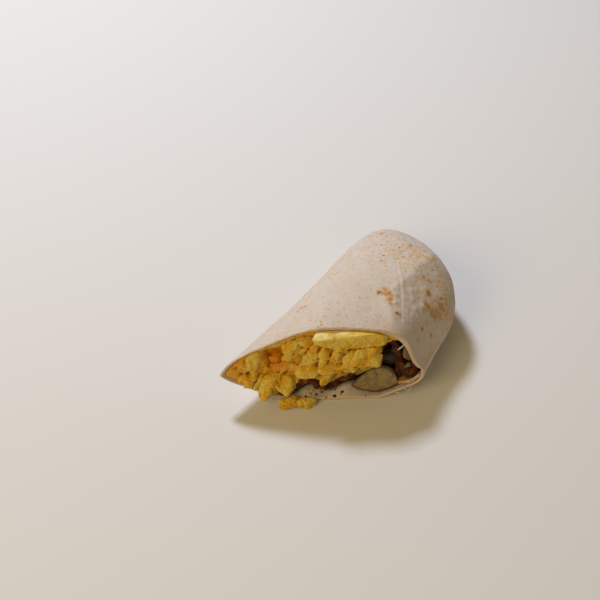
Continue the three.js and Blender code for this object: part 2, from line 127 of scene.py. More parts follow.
def section(x, angle, inset, back_inset):
    """The roll's outline at station x in the direction angle: sides and top follow quadratic rules
    along the roll, the crown is a power of the sine, and the far end closes as a superellipse."""
    across, up = np.cos(angle), np.sin(angle)
    left = along(LEFT_SIDE, x) - inset
    right = along(RIGHT_SIDE, x) + inset
    centre, half_width = (left + right) / 2, (left - right) / 2
    left_share = 0.5 + 0.5 * across
    end = END_X - back_inset
    side_closing = clamp01((x - (end - SIDE_CLOSING)) / SIDE_CLOSING)
    top_closing = clamp01((x - (end - TOP_CLOSING)) / TOP_CLOSING)
    side_square = SIDE_SQUARENESS_RIGHT + (SIDE_SQUARENESS_LEFT - SIDE_SQUARENESS_RIGHT) * left_share
    side_scale = (1 - side_closing**side_square) ** (1 / side_square)
    top_scale = (1 - top_closing**TOP_SQUARENESS) ** (1 / TOP_SQUARENESS)
    crown = CROWN_RIGHT + (CROWN_LEFT - CROWN_RIGHT) * left_share
    crown = crown + (1 - crown) * clamp01((x - CROWN_FADE_X) / CROWN_FADE_LENGTH)
    rise = (along(TOP_HEIGHT, x) - inset - WIDEST_HEIGHT) * np.abs(up) ** crown
    drop = (WIDEST_HEIGHT + FLAT_CUTOFF) * np.abs(up) ** LOWER_FULLNESS
    lower = np.maximum(WIDEST_HEIGHT - drop + inset * np.abs(up), inset)
    opened = np.where(up >= 0, WIDEST_HEIGHT + rise, lower)
    y = centre + half_width * across * side_scale
    z = END_HEIGHT + (opened - END_HEIGHT) * top_scale
    return y, z, centre, half_width


def rim_wobble(angle):
    """How far the rim strays outwards in this direction: cosines and sines of 1 to 6 turns."""
    terms = zip(range(1, 7), RIM_COSINES, RIM_SINES)
    return sum(c * np.cos(n * angle) + s * np.sin(n * angle) for n, c, s in terms)


def shell_section(x, angle, inset, back_inset, advance):
    """The outline with the rim's wobble, which fades along the roll, sooner on the underside."""
    y, z, centre, half_width = section(x, angle, inset, back_inset)
    wobble = rim_wobble(angle)
    fade = smooth01(1 - advance / RIM_FADE)
    upright = np.where(np.sin(angle) < 0, smooth01(1 - advance / RIM_FADE_BELOW), fade)
    y = y + wobble * fade * np.cos(angle)
    z = np.maximum(z + wobble * upright * np.sin(angle), inset)
    return y, z, centre, half_width


def rim_station(angle, inset, back_inset):
    """Where this direction of the section meets the bias cut, found by closing in on it."""
    x = np.full_like(angle, CUT_X)
    for _ in range(RIM_STEPS):
        y, z = shell_section(x, angle, inset, back_inset, 0)[:2]
        x = x + RIM_STEP_SHARE * (cut_x(y, z) - x)
    return x


def skin(angle, share, inset, back_inset, outside):
    """The roll's skin over a grid of direction and share, 0 at the cut and 1 at the far end: the
    outline at each station, pulled out to a tip at the left of the cut and skewed at the far end.
    The outside has a shoulder across its top, and the inside two mounds on its floor."""
    start = rim_station(angle, inset, back_inset)
    advance = 1 - (1 - share) ** ROW_CROWDING
    x = start + (END_X - back_inset - start) * advance
    y, z, centre, half_width = shell_section(x, angle, inset, back_inset, advance)
    towards_end = clamp01((x - (END_X - SKEW_LENGTH)) / SKEW_LENGTH)
    skew = END_SKEW * (y - centre) / half_width * towards_end**2
    turn = np.where(angle > np.pi, angle - 2 * np.pi, angle)
    tip = TIP_REACH * np.exp(-np.abs(turn) / TIP_SPREAD) * clamp01(1 - share / TIP_FADE) ** 2
    if outside:
        steps = x - SHOULDER_TURN_X
        line = SHOULDER_Y + np.minimum(SHOULDER_SLOPE * steps, SHOULDER_SLOPE_BACK * steps)
        rise = SHOULDER_RISE * bell(y - line, SHOULDER_WIDTH) * (1 - advance**6)
        z = z + rise * np.maximum(np.sin(angle), 0)
    else:
        behind = bell(x - cut_x(y, 0) - MOUND_DEPTH, MOUND_LENGTH)
        mounds = sum(behind * rise * bell(y - at, width) for at, rise, width in MOUNDS)
        z = np.where(np.sin(angle) < 0, np.maximum(z, inset + mounds), z)
    return np.stack([x + skew + CUT_PER_Y * tip, y + tip, z], -1)


def grid_normals(points):
    """Outward directions of a grid that is closed round its second side."""
    round_step = np.roll(points, -1, 1) - np.roll(points, 1, 1)
    along_step = np.gradient(points, axis=0)
    normal = np.cross(along_step, round_step)
    return normal / (np.linalg.norm(normal, axis=-1, keepdims=True) + 1e-9)


def mesh_piece(name, points, faces, material, slot, stands_for=(), **shares):
    """A named piece from corners in mm and a list of faces, with shares kept as corner attributes.
    It rides on the one body, and it replaces the CAD nodes that it stands for."""
    mesh = bpy.data.meshes.new(name)
    sizes = np.concatenate([np.full(len(f), f.shape[1]) for f in faces])
    corners = np.concatenate([f.ravel() for f in faces])
    mesh.vertices.add(len(points))
    mesh.vertices.foreach_set("co", (points * MM).astype(np.float32).ravel())
    mesh.loops.add(len(corners))
    mesh.loops.foreach_set("vertex_index", corners.astype(np.int32))
    mesh.polygons.add(len(sizes))
    mesh.polygons.foreach_set("loop_start", (np.cumsum(sizes) - sizes).astype(np.int32))
    mesh.update(calc_edges=True)
    mesh.validate()
    mesh.shade_smooth()
    for share_name, values in shares.items():
        layer = mesh.attributes.new(share_name, "FLOAT", "POINT")
        layer.data.foreach_set("value", values.astype(np.float32).ravel())
    mesh.materials.append(material)
    piece = bpy.data.objects.new(name, mesh)
    bpy.context.scene.collection.objects.link(piece)
    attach(piece, "root")
    if stands_for:
        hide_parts(*stands_for)


def add(tree, kind, inputs=(), **settings):
    """A new node; inputs are pairs of a socket and its value, or of a socket and what feeds it."""
    made = tree.nodes.new(kind)
    for name, value in settings.items():
        setattr(made, name, value)
    for name, value in inputs:
        if isinstance(value, bpy.types.NodeSocket):
            tree.links.new(value, made.inputs[name])
        else:
            made.inputs[name].default_value = value
    return made


def maths(tree, operation, first, second):
    """A node that works out one operation on two numbers."""
    return add(tree, "ShaderNodeMath", [(0, first), (1, second)], operation=operation).outputs[0]


def times(tree, first, second):
    """The product of two numbers."""
    return maths(tree, "MULTIPLY", first, second)


def tint(tree, base, colour, share, strength=1.0):
    """The base turned into another colour by share times strength."""
    inputs = [(0, times(tree, share, strength)), (6, base), (7, colour)]
    return add(tree, "ShaderNodeMix", inputs, data_type="RGBA").outputs[2]


def ramp(tree, value, low, high):
    """0 where value is below low and 1 where it is above high, with an S-curve between them."""
    inputs = [("Value", value), ("From Min", low), ("From Max", high)]
    return add(tree, "ShaderNodeMapRange", inputs, interpolation_type="SMOOTHSTEP").outputs[0]


def pattern_group(name, inputs, pattern):
    """A node group with the named number inputs, whose one output is what the pattern function
    makes of them and of the piece's own coordinates."""
    group = bpy.data.node_groups.new(name, "ShaderNodeTree")
    for socket_name, value in inputs.items():
        socket = group.interface.new_socket(socket_name, in_out="INPUT", socket_type="NodeSocketFloat")
        socket.default_value = value
    group.interface.new_socket("Mask", in_out="OUTPUT", socket_type="NodeSocketFloat")
    given = group.nodes.new("NodeGroupInput").outputs
    mask = pattern(group, given, add(group, "ShaderNodeTexCoord").outputs["Object"])
    group.links.new(mask, group.nodes.new("NodeGroupOutput").inputs[0])
    return group


def mottle_pattern(group, given, spot):
    """Patches of a given size: fractal noise, cut off softly between the low and high values."""
    inputs = [("Vector", spot), ("Scale", given[0]), ("Detail", 3.0), ("Roughness", 0.6)]
    return ramp(group, add(group, "ShaderNodeTexNoise", inputs).outputs[0], given[1], given[2])


MOTTLE = pattern_group("mottle", {"Patches per metre": 100, "Low": 0.45, "High": 0.65}, mottle_pattern)


def mottle(tree, per_metre, low, high):
    """Patches in a material, this many a metre; the closer low and high, the sharper their edges."""
    inputs = [(0, per_metre), (1, low), (2, high)]
    return add(tree, "ShaderNodeGroup", inputs, node_tree=MOTTLE).outputs[0]


def material_of(name, **sockets):
    """A material with these values on its Principled shader, and its node tree."""
    material = bpy.data.materials.new(name)
    material.use_nodes = True
    for socket, value in sockets.items():
        shader = material.node_tree.nodes["Principled BSDF"]
        shader.inputs[socket.replace("_", " ")].default_value = value
    return material, material.node_tree


def share_of(tree, name):
    """A share that the mesh carries at its corners."""
    return add(tree, "ShaderNodeAttribute", attribute_name=name).outputs["Fac"]


def coat(tree, base, per_metre, strength, depth):
    """Gives the shader its colour, and a fine grain of this depth in metres as a bump."""
    height = mottle(tree, per_metre, 0.2, 0.8)
    bump = add(tree, "ShaderNodeBump", [("Strength", strength), ("Distance", depth), ("Height", height)])
    shader = tree.nodes["Principled BSDF"]
    tree.links.new(base, shader.inputs["Base Color"])
    tree.links.new(bump.outputs[0], shader.inputs["Normal"])


def distance_to_path(points, path):
    """For each point the distance to a line through the path's corners seen from above, with a
    sign that is positive on the path's left."""
    best = np.full(points.shape[:-1], 1e9)
    side = np.zeros_like(best)
    for start, end in zip(path[:-1], path[1:]):
        start, step = np.array(start[:2]), np.subtract(end[:2], start[:2])
        away = points[..., :2] - start
        share = clamp01((away @ step) / (step @ step))
        gap = np.linalg.norm(away - share[..., None] * step, axis=-1)
        turn = step[0] * away[..., 1] - step[1] * away[..., 0]
        nearer = gap < best
        best = np.where(nearer, gap, best)
        side = np.where(nearer, np.sign(turn), side)
    return best * side


AROUND, OUTER_ROWS, RIM_ROWS, INNER_ROWS = 400, 186, 4, 42
OUTER_END, INNER_END, INNER_CROWDING = 0.985, 0.97, 1.4
RIM_THICKNESS, RIM_THIN_LENGTH, RIM_BULGE = 1.5, 0.12, 0.45
# Unevenness of the skin and of the frayed rim: [height, size across, seed].
SKIN_NOISES = ((0.30, 15, 1), (0.16, 6, 2), (0.06, 2.6, 3), (0.03, 1.2, 4))
FRAY_NOISES = ((0.30, 2.6, 5), (0.22, 1.2, 6))
# Folds are lines seen from above. The filling pushes up a blunt ridge, with thin creases beside it.
RIDGE = ((48.4, -11.4), (40.7, -13), (24, -12.7), (12, -12), (3, -12), (-6.8, -17.5), (-13.7, -24))
RIDGE_HEIGHT, RIDGE_WIDTH, RIDGE_ROUND, RIDGE_FADES = 1.9, 6.5, 0.9, (-20, 10, 60, 16)
CREASE = ((31.3, -0.5), (20.8, -7.8), (14.7, -12.4), (6.8, -18.5), (0.4, -22.2), (-7.4, -26.9))
CREASE_HEIGHT, CREASE_WIDTH, CREASE_FADES = 0.27, 0.6, (-14, 8, 34, 6)
GROOVE_DEPTH, GROOVE_WIDTH, GROOVE_AT = 0.20, 0.7, 1.3
# Faint creases: [line, height, width].
FAINT_CREASES = (
    (((2.2, -23.1), (-3.7, -26.9)), 0.15, 0.7),
    (((-7.6, -9.5), (-12.2, -12.5), (-18.0, -16.4)), 0.12, 0.8),
    (((15.5, -25.6), (10.9, -28.1)), 0.10, 0.8),
)
BUBBLES_AT, BUBBLES_REACH, BUBBLE_HEIGHT, BUBBLE_SIZE = (10, -20), 22, 0.30, 2.2
TUCK_FROM, TUCK_WIDTH, TUCK_RADIUS, TUCK_RISE, TUCK_STEP = 45, 1.9, 9, 1.5, 1.6
PLEATS, PLEAT_HEIGHT, PLEAT_AT = 7, 0.6, 4
SEAM_HEIGHT, SEAM_STEP, SEAM_FADES, SEAM_SWAY, SEAM_WAVE = 8.0, 1.1, (-25, 10, 60, 10), 1.2, 17
# Blisters: [x, y, size across, height].
BLISTERS = (
    (4.2, -15.0, 1.4, 0.84), (-0.3, -17.4, 1.4, 0.77), (14.7, -18.3, 1.5, 0.63),
    (7.2, -25.6, 1.3, 0.7), (13.0, -27.0, 1.8, 0.63), (-5.4, -22.3, 1.5, 0.56),
    (30.0, -10.0, 3.0, 0.56), (22.0, -22.0, 2.4, 0.49),
)
TOP_FROM, LIFTED_BY, INSIDE_RELIEF = 20, 3, 0.6

angles = np.linspace(0, 2 * np.pi, AROUND, endpoint=False)
outer = skin(*np.meshgrid(angles, np.linspace(0, OUTER_END, OUTER_ROWS)), 0, 0, True)
inner_grid = np.meshgrid(angles, np.linspace(0, INNER_END, INNER_ROWS) ** INNER_CROWDING)
thickness = TORTILLA - (TORTILLA - RIM_THICKNESS) * smooth01(1 - inner_grid[1] / RIM_THIN_LENGTH)
inner = skin(*inner_grid, thickness, END_LAYERS, False)


def rim_rows():
    """Rows that carry the outer edge of the cut over to the inner edge in a low round."""
    share = np.arange(1, RIM_ROWS + 1)[:, None, None] / (RIM_ROWS + 1)
    return outer[0] * (1 - share) + inner[0] * share + RIM_BULGE * np.sin(np.pi * share) * CUT_OUTWARDS


def between(x, start, fade_in, end, fade_out):
    """1 between two stations along the roll, with an S-curve over each fading length."""
    return smooth01((x - start) / fade_in) * smooth01((end - x) / fade_out)


def fold_relief(x, y, z):
    """Relief of the top in mm: the ridge falls off from its line, the long crease is a narrow bell
    with a groove beside it, and the faint creases, bubbles and blisters are low bells."""
    ridge = np.hypot(distance_to_path(wrap, RIDGE), RIDGE_ROUND)
    relief = RIDGE_HEIGHT * np.exp(-ridge / RIDGE_WIDTH) * between(x, *RIDGE_FADES)
    crease = distance_to_path(wrap, CREASE)
    sharp = CREASE_HEIGHT * bell(crease, CREASE_WIDTH)
    sharp = sharp - GROOVE_DEPTH * bell(crease + GROOVE_AT, GROOVE_WIDTH)
    relief += sharp * between(x, *CREASE_FADES) * (0.8 + 0.5 * noise(x, y, z, 4, 7))
    bubbly = smooth01(1.2 - np.hypot(x - BUBBLES_AT[0], y - BUBBLES_AT[1]) / BUBBLES_REACH)
    relief += bubbly * BUBBLE_HEIGHT * np.maximum(noise(x, y, z, BUBBLE_SIZE, 8), 0)
    for line, height, width in FAINT_CREASES:
        relief += height * bell(distance_to_path(wrap, line), width)
    for at_x, at_y, size, height in BLISTERS:
        relief += height * bell(np.hypot(x - at_x, y - at_y), size)
    return relief * (z > TOP_FROM)


def end_relief(x, y, z):
    """Relief of the end in mm: it is tucked in under the last turn, in a step round an oval with
    pleats beside it, and the turn's edge runs low along the left side as the seam."""
    end_y, end_z = outer[-1].mean(0)[1:]
    out = np.hypot((y - end_y) / TUCK_WIDTH, z - end_z - TUCK_RISE)
    tuck = out - TUCK_RADIUS + 1.2 * noise(x, y, z, 7, 9)
    turn = np.arctan2(z - end_z, (y - end_y) / TUCK_WIDTH)
    pleats = np.sin(PLEATS * turn + 2.5 * noise(x, y, z, 9, 10))
    step = TUCK_STEP * smooth01(0.5 - tuck / 1.1) * smooth01((z - end_z + 4) / 6)
    relief = (x > TUCK_FROM) * (PLEAT_HEIGHT * pleats * bell(tuck + PLEAT_AT, PLEAT_AT) - step)
    seam_z = SEAM_HEIGHT + SEAM_SWAY * np.sin(x / SEAM_WAVE)
    seam = smooth01((seam_z - z) / 0.8 + 0.5) * between(x, *SEAM_FADES)
    return relief - (y > 0) * SEAM_STEP * seam


wrap = np.concatenate([outer[::-1], rim_rows(), inner])
normals = grid_normals(wrap)
x, y, z = np.moveaxis(wrap, -1, 0)
row = np.arange(len(wrap))[:, None]
is_outer = row < OUTER_ROWS
relief = noises(x, y, z, *SKIN_NOISES) + is_outer * (fold_relief(x, y, z) + end_relief(x, y, z))
wrap = wrap + normals * (relief * np.where(is_outer, smooth01(z / LIFTED_BY), INSIDE_RELIEF))[..., None]
frayed = bell(row - OUTER_ROWS - RIM_ROWS / 2, RIM_ROWS) * noises(x, y, z, *FRAY_NOISES)
wrap = wrap + frayed[..., None] * CUT_OUTWARDS
wrap[..., 2] = np.maximum(wrap[..., 2], 0.0)


def rings(rows, around):
    """Corner numbers of a grid that is closed round its second side, and the faces between rows."""
    index = np.arange(rows * around).reshape(rows, around)
    here, beyond = index[:-1], index[1:]
    quads = np.stack([here, np.roll(here, -1, 1), np.roll(beyond, -1, 1), beyond], -1)
    return index, quads.reshape(-1, 4)


index, quads = rings(len(wrap), AROUND)
first_fan = np.stack([np.roll(index[0], -1), index[0], np.full(AROUND, index.size)], -1)
last_fan = np.stack([index[-1], np.roll(index[-1], -1), np.full(AROUND, index.size + 1)], -1)
points = np.concatenate([wrap.reshape(-1, 3), [wrap[0].mean(0), wrap[-1].mean(0)]])

# Toasted patches: [x, y, size across, how dark].
PATCHES = (
    (0.6, -7.5, 3.4, 1.05), (4.1, -8.4, 2.9, 0.95), (2.0, -11.6, 3.4, 1.05),
    (-1.0, -14.3, 2.8, 0.95), (-3.5, -16.5, 2.3, 0.9), (7.3, -12.3, 1.3, 0.9),
    (-5.4, -22.3, 2.1, 1.25), (-9.3, -23.4, 1.2, 0.9), (-6.0, -16.2, 0.9, 0.9),
    (-1.5, -18.7, 1.4, 0.7), (4.2, -15.0, 1.2, 0.55), (16.2, -28.5, 4.0, 1.0),
    (16.7, -31.7, 3.0, 0.95), (24.8, -32.1, 3.2, 0.95), (19.5, -33.0, 3.4, 0.85),
    (23.0, -24.7, 2.2, 1.15), (11.1, -28.8, 1.6, 0.6), (20.5, -28.1, 3.0, 0.5),
    (50.4, 6.4, 2.0, 0.55), (49.2, 1.9, 1.8, 0.55), (43.6, -4.6, 2.2, 0.6),
    (42.3, -9.6, 1.6, 0.7), (36.9, -3.8, 1.3, 0.6), (32.4, -13.2, 1.2, 0.85),
    (34.6, -14.1, 1.1, 0.85), (28.4, -3.6, 1.0, 0.7), (24.7, -8.7, 0.9, 0.7),
    (47.0, 17.7, 1.3, 0.6), (-28.2, 24.6, 2.2, 0.8), (-25.6, 24.4, 2.1, 0.95),
    (-23.6, 23.4, 2.0, 0.85), (-26.4, 22.0, 1.6, 0.65), (-31.0, 6.4, 1.4, 0.9),
    (-20.4, 7.4, 0.9, 0.6), (-8.0, 33.0, 3.0, 0.6), (17.0, 36.0, 4.0, 0.75),
    (20.5, 30.0, 2.2, 0.6), (30.0, 37.0, 2.5, 0.6), (5.0, 27.0, 2.0, 0.5),
    (56.0, -14.0, 3.0, 0.7), (52.0, 22.0, 4.0, 0.65), (60.0, 6.0, 3.5, 0.6),
    (40.0, -33.0, 3.0, 0.7),
)
DARK_DOTS = ((28.3, -18.4), (8.5, -35.7), (29.1, 7.3), (40.5, 4.0), (3.6, -32.6))
DOT_SIZE, DOT_DARKNESS, UPPER_SKIN_FROM = 0.8, 1.5, 12


def toast_share(x, y, z):
    """How browned the skin is: a ragged disc round each patch's middle, and small dark dots."""
    ragged = noises(x, y, z, (0.3, 2.4, 21), (0.2, 1.1, 22))
    share = np.zeros(len(x))
    for at_x, at_y, size, strength in PATCHES:
        gap = np.hypot(x - at_x, y - at_y) / size + ragged
        share = np.maximum(share, strength * bell(gap, 0.8))
    for at_x, at_y in DARK_DOTS:
        share = np.maximum(share, DOT_DARKNESS * bell(np.hypot(x - at_x, y - at_y), DOT_SIZE))
    return share * (z > UPPER_SKIN_FROM)


def freckle_share(x, y, z):
    """How thickly the skin is freckled: more at the far end and down the right side, in clusters."""
    cluster = smooth01((noise(x, y, z, 9, 24) + 0.2) / 0.7)
    far = smooth01((x - 12 - 0.35 * y) / 34) * (0.45 + 0.55 * smooth01((14 - y) / 16))
    return clamp01(0.48 + 0.52 * far * (0.35 + 0.65 * cluster))


edge_row = np.concatenate([np.repeat(np.arange(len(wrap)), AROUND), [0, len(wrap)]])
edge = clamp01(RIM_ROWS / 2 + 1 - np.abs(edge_row - OUTER_ROWS - RIM_ROWS / 2 + 0.5))
edge = np.maximum(edge, 0.35 * bell(OUTER_ROWS - edge_row, 10) * (edge_row < OUTER_ROWS))
inside_share = (edge_row >= OUTER_ROWS + RIM_ROWS).astype(float)


def dots_pattern(group, given, spot):
    """Ragged dots: a random point in each cell of a grid, with a ball of a random size round it
    that noise pulls in and out."""
    cell = add(group, "ShaderNodeTexVoronoi", [("Vector", spot), ("Scale", given[0])])
    random = add(group, "ShaderNodeSeparateColor", [(0, cell.outputs["Color"])]).outputs[0]
    inputs = [("Vector", spot), ("Scale", times(group, given[0], 1.7)), ("Detail", 2.0)]
    wobble = add(group, "ShaderNodeTexNoise", inputs).outputs[0]
    ragged = maths(group, "ADD", times(group, wobble, 3.0), -0.5)
    radius = times(group, times(group, random, given[1]), ragged)
    return ramp(group, maths(group, "SUBTRACT", radius, cell.outputs["Distance"]), 0.0, 0.10)


DOTS = pattern_group("dots", {"Cells per metre": 400, "Largest radius": 0.2}, dots_pattern)

FLOUR = (0.67, 0.60, 0.525, 1)
DOUGH = (0.57, 0.46, 0.345, 1)
FRECKLE = (0.65, 0.37, 0.12, 1)
SPOT = (0.45, 0.20, 0.06, 1)
TOAST = (0.57, 0.27, 0.045, 1)
CHARRED = (0.18, 0.065, 0.018, 1)
CUT_EDGE = (0.66, 0.48, 0.33, 1)
# Freckles: [cells a metre, largest radius in cells, strength, colour].
FRECKLES = ((560, 0.76, 0.75, FRECKLE), (330, 0.56, 0.75, FRECKLE), (210, 0.34, 0.8, SPOT))
tortilla_skin, tree = material_of("tortilla_skin", Roughness=0.72, Specular_IOR_Level=0.3)
base = tint(tree, FLOUR, DOUGH, mottle(tree, 120, 0.35, 0.75), 0.35)
how_freckled = share_of(tree, "freckled")
base = tint(tree, base, FRECKLE, times(tree, mottle(tree, 480, 0.50, 0.66), how_freckled), 0.5)
for per_metre, radius, strength, colour in FRECKLES:
    inputs = [(0, per_metre), (1, times(tree, how_freckled, radius))]
    spots = add(tree, "ShaderNodeGroup", inputs, node_tree=DOTS).outputs[0]
    base = tint(tree, base, colour, spots, strength)
grainy = maths(tree, "ADD", times(tree, mottle(tree, 650, 0.3, 0.7), 0.6), 0.7)
toasted = times(tree, share_of(tree, "toast"), grainy)
base = tint(tree, base, TOAST, ramp(tree, toasted, 0.22, 0.95), 0.85)
base = tint(tree, base, CHARRED, ramp(tree, toasted, 0.95, 1.4))
base = tint(tree, base, DOUGH, share_of(tree, "inside_skin"), 0.15)
base = tint(tree, base, CUT_EDGE, share_of(tree, "edge"), 0.55)
coat(tree, base, per_metre=1500, strength=0.35, depth=0.0004)

shares = {"toast": toast_share(*points.T), "freckled": freckle_share(*points.T), "edge": edge}
shares["inside_skin"] = inside_share
faces = [quads, first_fan, last_fan]
mesh_piece("rolled_tortilla", points, faces, tortilla_skin, "tortilla", ["tortilla_wrap"], **shares)

# The bacon: two thin streaky rashers, fried dark and wavy, that run back into the roll. Each is a
# line across the cut, carried back along the roll, with thickness and edges roughened by noise.
# The points of a line are [y, z, depth of the front edge behind the cut].
BACON_LOW = (
    (18.6, 3.8, 1.0), (15.0, 5.0, 1.0), (11.4, 6.4, 1.0), (8.8, 10.2, 1.5), (5.6, 11.3, 1.5),
    (2.1, 9.1, 1.0), (-0.9, 7.0, 1.0), (-3.8, 8.2, 1.0), (-7.6, 11.4, 1.5), (-11.1, 13.6, 3.0),
)
BACON_FOLD = ((13.4, 12.9, 2.5), (9.4, 11.4, 2.0), (6.4, 13.2, 2.5))
BACON_SIDE = (
    (-25.7, 35.2, 4), (-28.9, 28.6, 4), (-30.1, 23.5, 4), (-30.7, 18.4, 5), (-32.0, 13.6, 4),
    (-35.4, 12.9, 1.5), (-37.8, 14.8, 0.8), (-37.4, 18, 1.5), (-35.0, 18.6, 3.5),
)
SIDE_FOLD = (
    (-31.0, 19.5, 3.0), (-33.2, 18.0, 1.2), (-35.2, 16.4, 0.8), (-36.6, 19.6, 1.5),
    (-35.6, 22.4, 3.0),
)
# A rasher is [path, depth of its back end, sideways drift, half its thickness, seed].
LOW_RASHER = (BACON_LOW, 46, 0.03, 1.35, 101)
SIDE_RASHER = (BACON_SIDE, 36, 0.22, 1.7, 131)
BACON_STEP, FOLD_BACK, FOLD_BLEND, DEEP_SHADE, WALL_GAP = 0.32, 12, 0.8, 0.85, 0.1


def field_surface(field, axes):
    """The zero surface of a field on a grid: one corner in every cell that it crosses, at the mean
    of the crossings on the cell's edges, and one face round every grid edge that it crosses."""
    inside = field < 0
    corners = list(product((0, 1), repeat=3))
    size = np.array(field.shape)
    filled = np.zeros(size - 1, np.int8)
    for corner in corners:
        filled += inside[tuple(slice(c, n - 1 + c) for c, n in zip(corner, size))]
    cells = np.argwhere((filled > 0) & (filled < 8))
    number = np.full(filled.shape, -1, np.int64)
    number[tuple(cells.T)] = np.arange(len(cells))
    total, hits = np.zeros((len(cells), 3)), np.zeros(len(cells))
    faces = []
    for axis in range(3):
        unit, second, third = np.roll(np.eye(3, dtype=int), -axis, 0)
        for corner in (c for c in corners if not c[axis]):
            start = cells + corner
            here, there = field[tuple(start.T)], field[tuple((start + unit).T)]
            crossed = (here < 0) != (there < 0)
            share = np.where(crossed, here / np.where(crossed, here - there, 1), 0)
            total += crossed[:, None] * (np.array(corner) + share[:, None] * unit)
            hits += crossed
        ahead = np.moveaxis(inside, axis, 0)
        edges = np.argwhere(np.moveaxis(ahead[:-1] != ahead[1:], 0, axis))
        across = edges * (second + third)
        clear = ((across > 0) | (unit == 1)) & (across < size - 1)
        edges = edges[clear.all(1)]
        offsets = (second + third, third, 0 * unit, second)
        face = np.stack([number[tuple((edges - offset).T)] for offset in offsets], 1)
        outwards = inside[tuple(edges.T)]
        face[~outwards] = face[~outwards][:, ::-1]
        faces.append(face)
    local = cells + total / hits[:, None]
    places = [np.interp(local[:, i], np.arange(size[i]), axes[i]) for i in range(3)]
    return np.stack(places, 1), np.concatenate(faces)


def soft_union(first, second, width):
    """The nearer of two distances, with the joint between them rounded over this width."""
    share = clamp01(0.5 + 0.5 * (second - first) / width)
    return second * (1 - share) + first * share - width * share * (1 - share)


def lump_distance(depth, y, z, lump, seed=0):
    """About the distance in mm from the surface of a lump, below zero inside it. A lump is
    (y, z, depth, half length along the cut, half height, tilt, half depth) in the cut's own axes.
    With a seed its shape is mostly a block's, turned and chamfered at random."""
    at_y, at_z, at_depth, half_length, half_height, tilt, half_depth = lump
    turn = math.radians(tilt)
    cut_along, cut_up, cut_in = (y - at_y) * SLANT, z - at_z, (depth - at_depth) / SLANT
    away = [
        (cut_along * math.cos(turn) + cut_up * math.sin(turn)) / half_length,
        (cut_up * math.cos(turn) - cut_along * math.sin(turn)) / half_height,
        cut_in / half_depth,
    ]
    length = np.sqrt(cut_along**2 + cut_up**2 + cut_in**2)
    reach = np.sqrt(away[0] ** 2 + away[1] ** 2 + away[2] ** 2)
    if seed:
        facings = np.random.default_rng(seed).normal(size=(6, 3))
        facings[:3] = 2.4 * np.eye(3) + 0.6 * facings[:3]
        facings /= np.linalg.norm(facings, axis=1, keepdims=True)
        faced = sum(sum(a * f for a, f in zip(away, facing)) ** 8 for facing in facings)
        reach = 0.2 * reach + 0.8 * faced ** (1 / 8)
    reach = np.maximum(reach, 0.2)
    return length * (1 - 1 / reach) - 0.5 * (reach <= 0.2)


WALL_STEP, WALL_TURNS, WALL_DEPTH = 0.5, 720, 118


def wall_tables():
    """The wrap's inner skin as seen from inside: at each step behind the cut a middle, and for each
    turn round that middle the distance to the skin and the cosine of its slant."""
    rows = wrap[OUTER_ROWS + RIM_ROWS :]
    behind = rows[..., 0] - cut_x(rows[..., 1], rows[..., 2])
    steps = np.arange(0, WALL_DEPTH, WALL_STEP)
    columns = range(AROUND)
    skin_y = np.stack([np.interp(steps, behind[:, j], rows[:, j, 1]) for j in columns], 1)
    skin_z = np.stack([np.interp(steps, behind[:, j], rows[:, j, 2]) for j in columns], 1)
    middle_y, middle_z = skin_y.mean(1), skin_z.mean(1)
    turn = np.arctan2(skin_z - middle_z[:, None], skin_y - middle_y[:, None])
    gap = np.hypot(skin_z - middle_z[:, None], skin_y - middle_y[:, None])
    turns = np.linspace(-np.pi, np.pi, WALL_TURNS, endpoint=False)
    reach = np.stack([np.interp(turns, t, g, period=2 * np.pi) for t, g in zip(turn, gap)])
    slope = (np.roll(reach, -1, 1) - np.roll(reach, 1, 1)) * WALL_TURNS / (4 * np.pi)
    return middle_y, middle_z, reach, reach / np.hypot(reach, slope), behind[-1].min()


MIDDLE_AT_Y, MIDDLE_AT_Z, WALL_REACH, WALL_SLANT, WALL_END = wall_tables()


def wall_distance(depth, y, z):
    """About the distance in mm beyond the inside of the wrap, below zero inside it. In front of the
    cut the room grows slowly wider."""
    level = np.clip(depth / WALL_STEP, 0, len(WALL_REACH) - 2)
    low = level.astype(int)
    part = level - low
    away_y = y - (MIDDLE_AT_Y[low] * (1 - part) + MIDDLE_AT_Y[low + 1] * part)
    away_z = z - (MIDDLE_AT_Z[low] * (1 - part) + MIDDLE_AT_Z[low + 1] * part)
    turn = (np.arctan2(away_z, away_y) + np.pi) * WALL_TURNS / (2 * np.pi)
    column = turn.astype(int) % WALL_TURNS
    reach = WALL_REACH[low, column] * (1 - part) + WALL_REACH[low + 1, column] * part
    beyond = (np.hypot(away_y, away_z) - reach) * WALL_SLANT[low, column]
    return np.maximum(beyond - 0.5 * np.maximum(-1 - depth, 0), depth - WALL_END)


def fractal(x, y, z, size, seed, octaves):
    """Noise of this size with finer and weaker noise on it, each half the size of the last."""
    return sum(noise(x, y, z, size / 2**i, seed + i) / 1.8**i for i in range(octaves))


def blurred(values, steps):
    """Box average over 2 * steps + 1 cells along each side."""
    span = 2 * steps + 1
    for axis in range(3):
        ends = [(0, 0)] * 3
        ends[axis] = (steps + 1, steps)
        total = np.cumsum(np.pad(values, ends, mode="edge"), axis)
        last = total.shape[axis]
        values = (total.take(range(span, last), axis) - total.take(range(last - span), axis)) / span
    return values


CREVICE_CELLS, CREVICE_FROM, CREVICE_GAIN = 3, 0.55, 3.8


def cells_of(axes, places):
    """The grid cell that holds each place."""
    found = [np.searchsorted(a, places[:, i]) for i, a in enumerate(axes)]
    return tuple(np.clip(f, 1, len(a) - 1) for f, a in zip(found, axes))


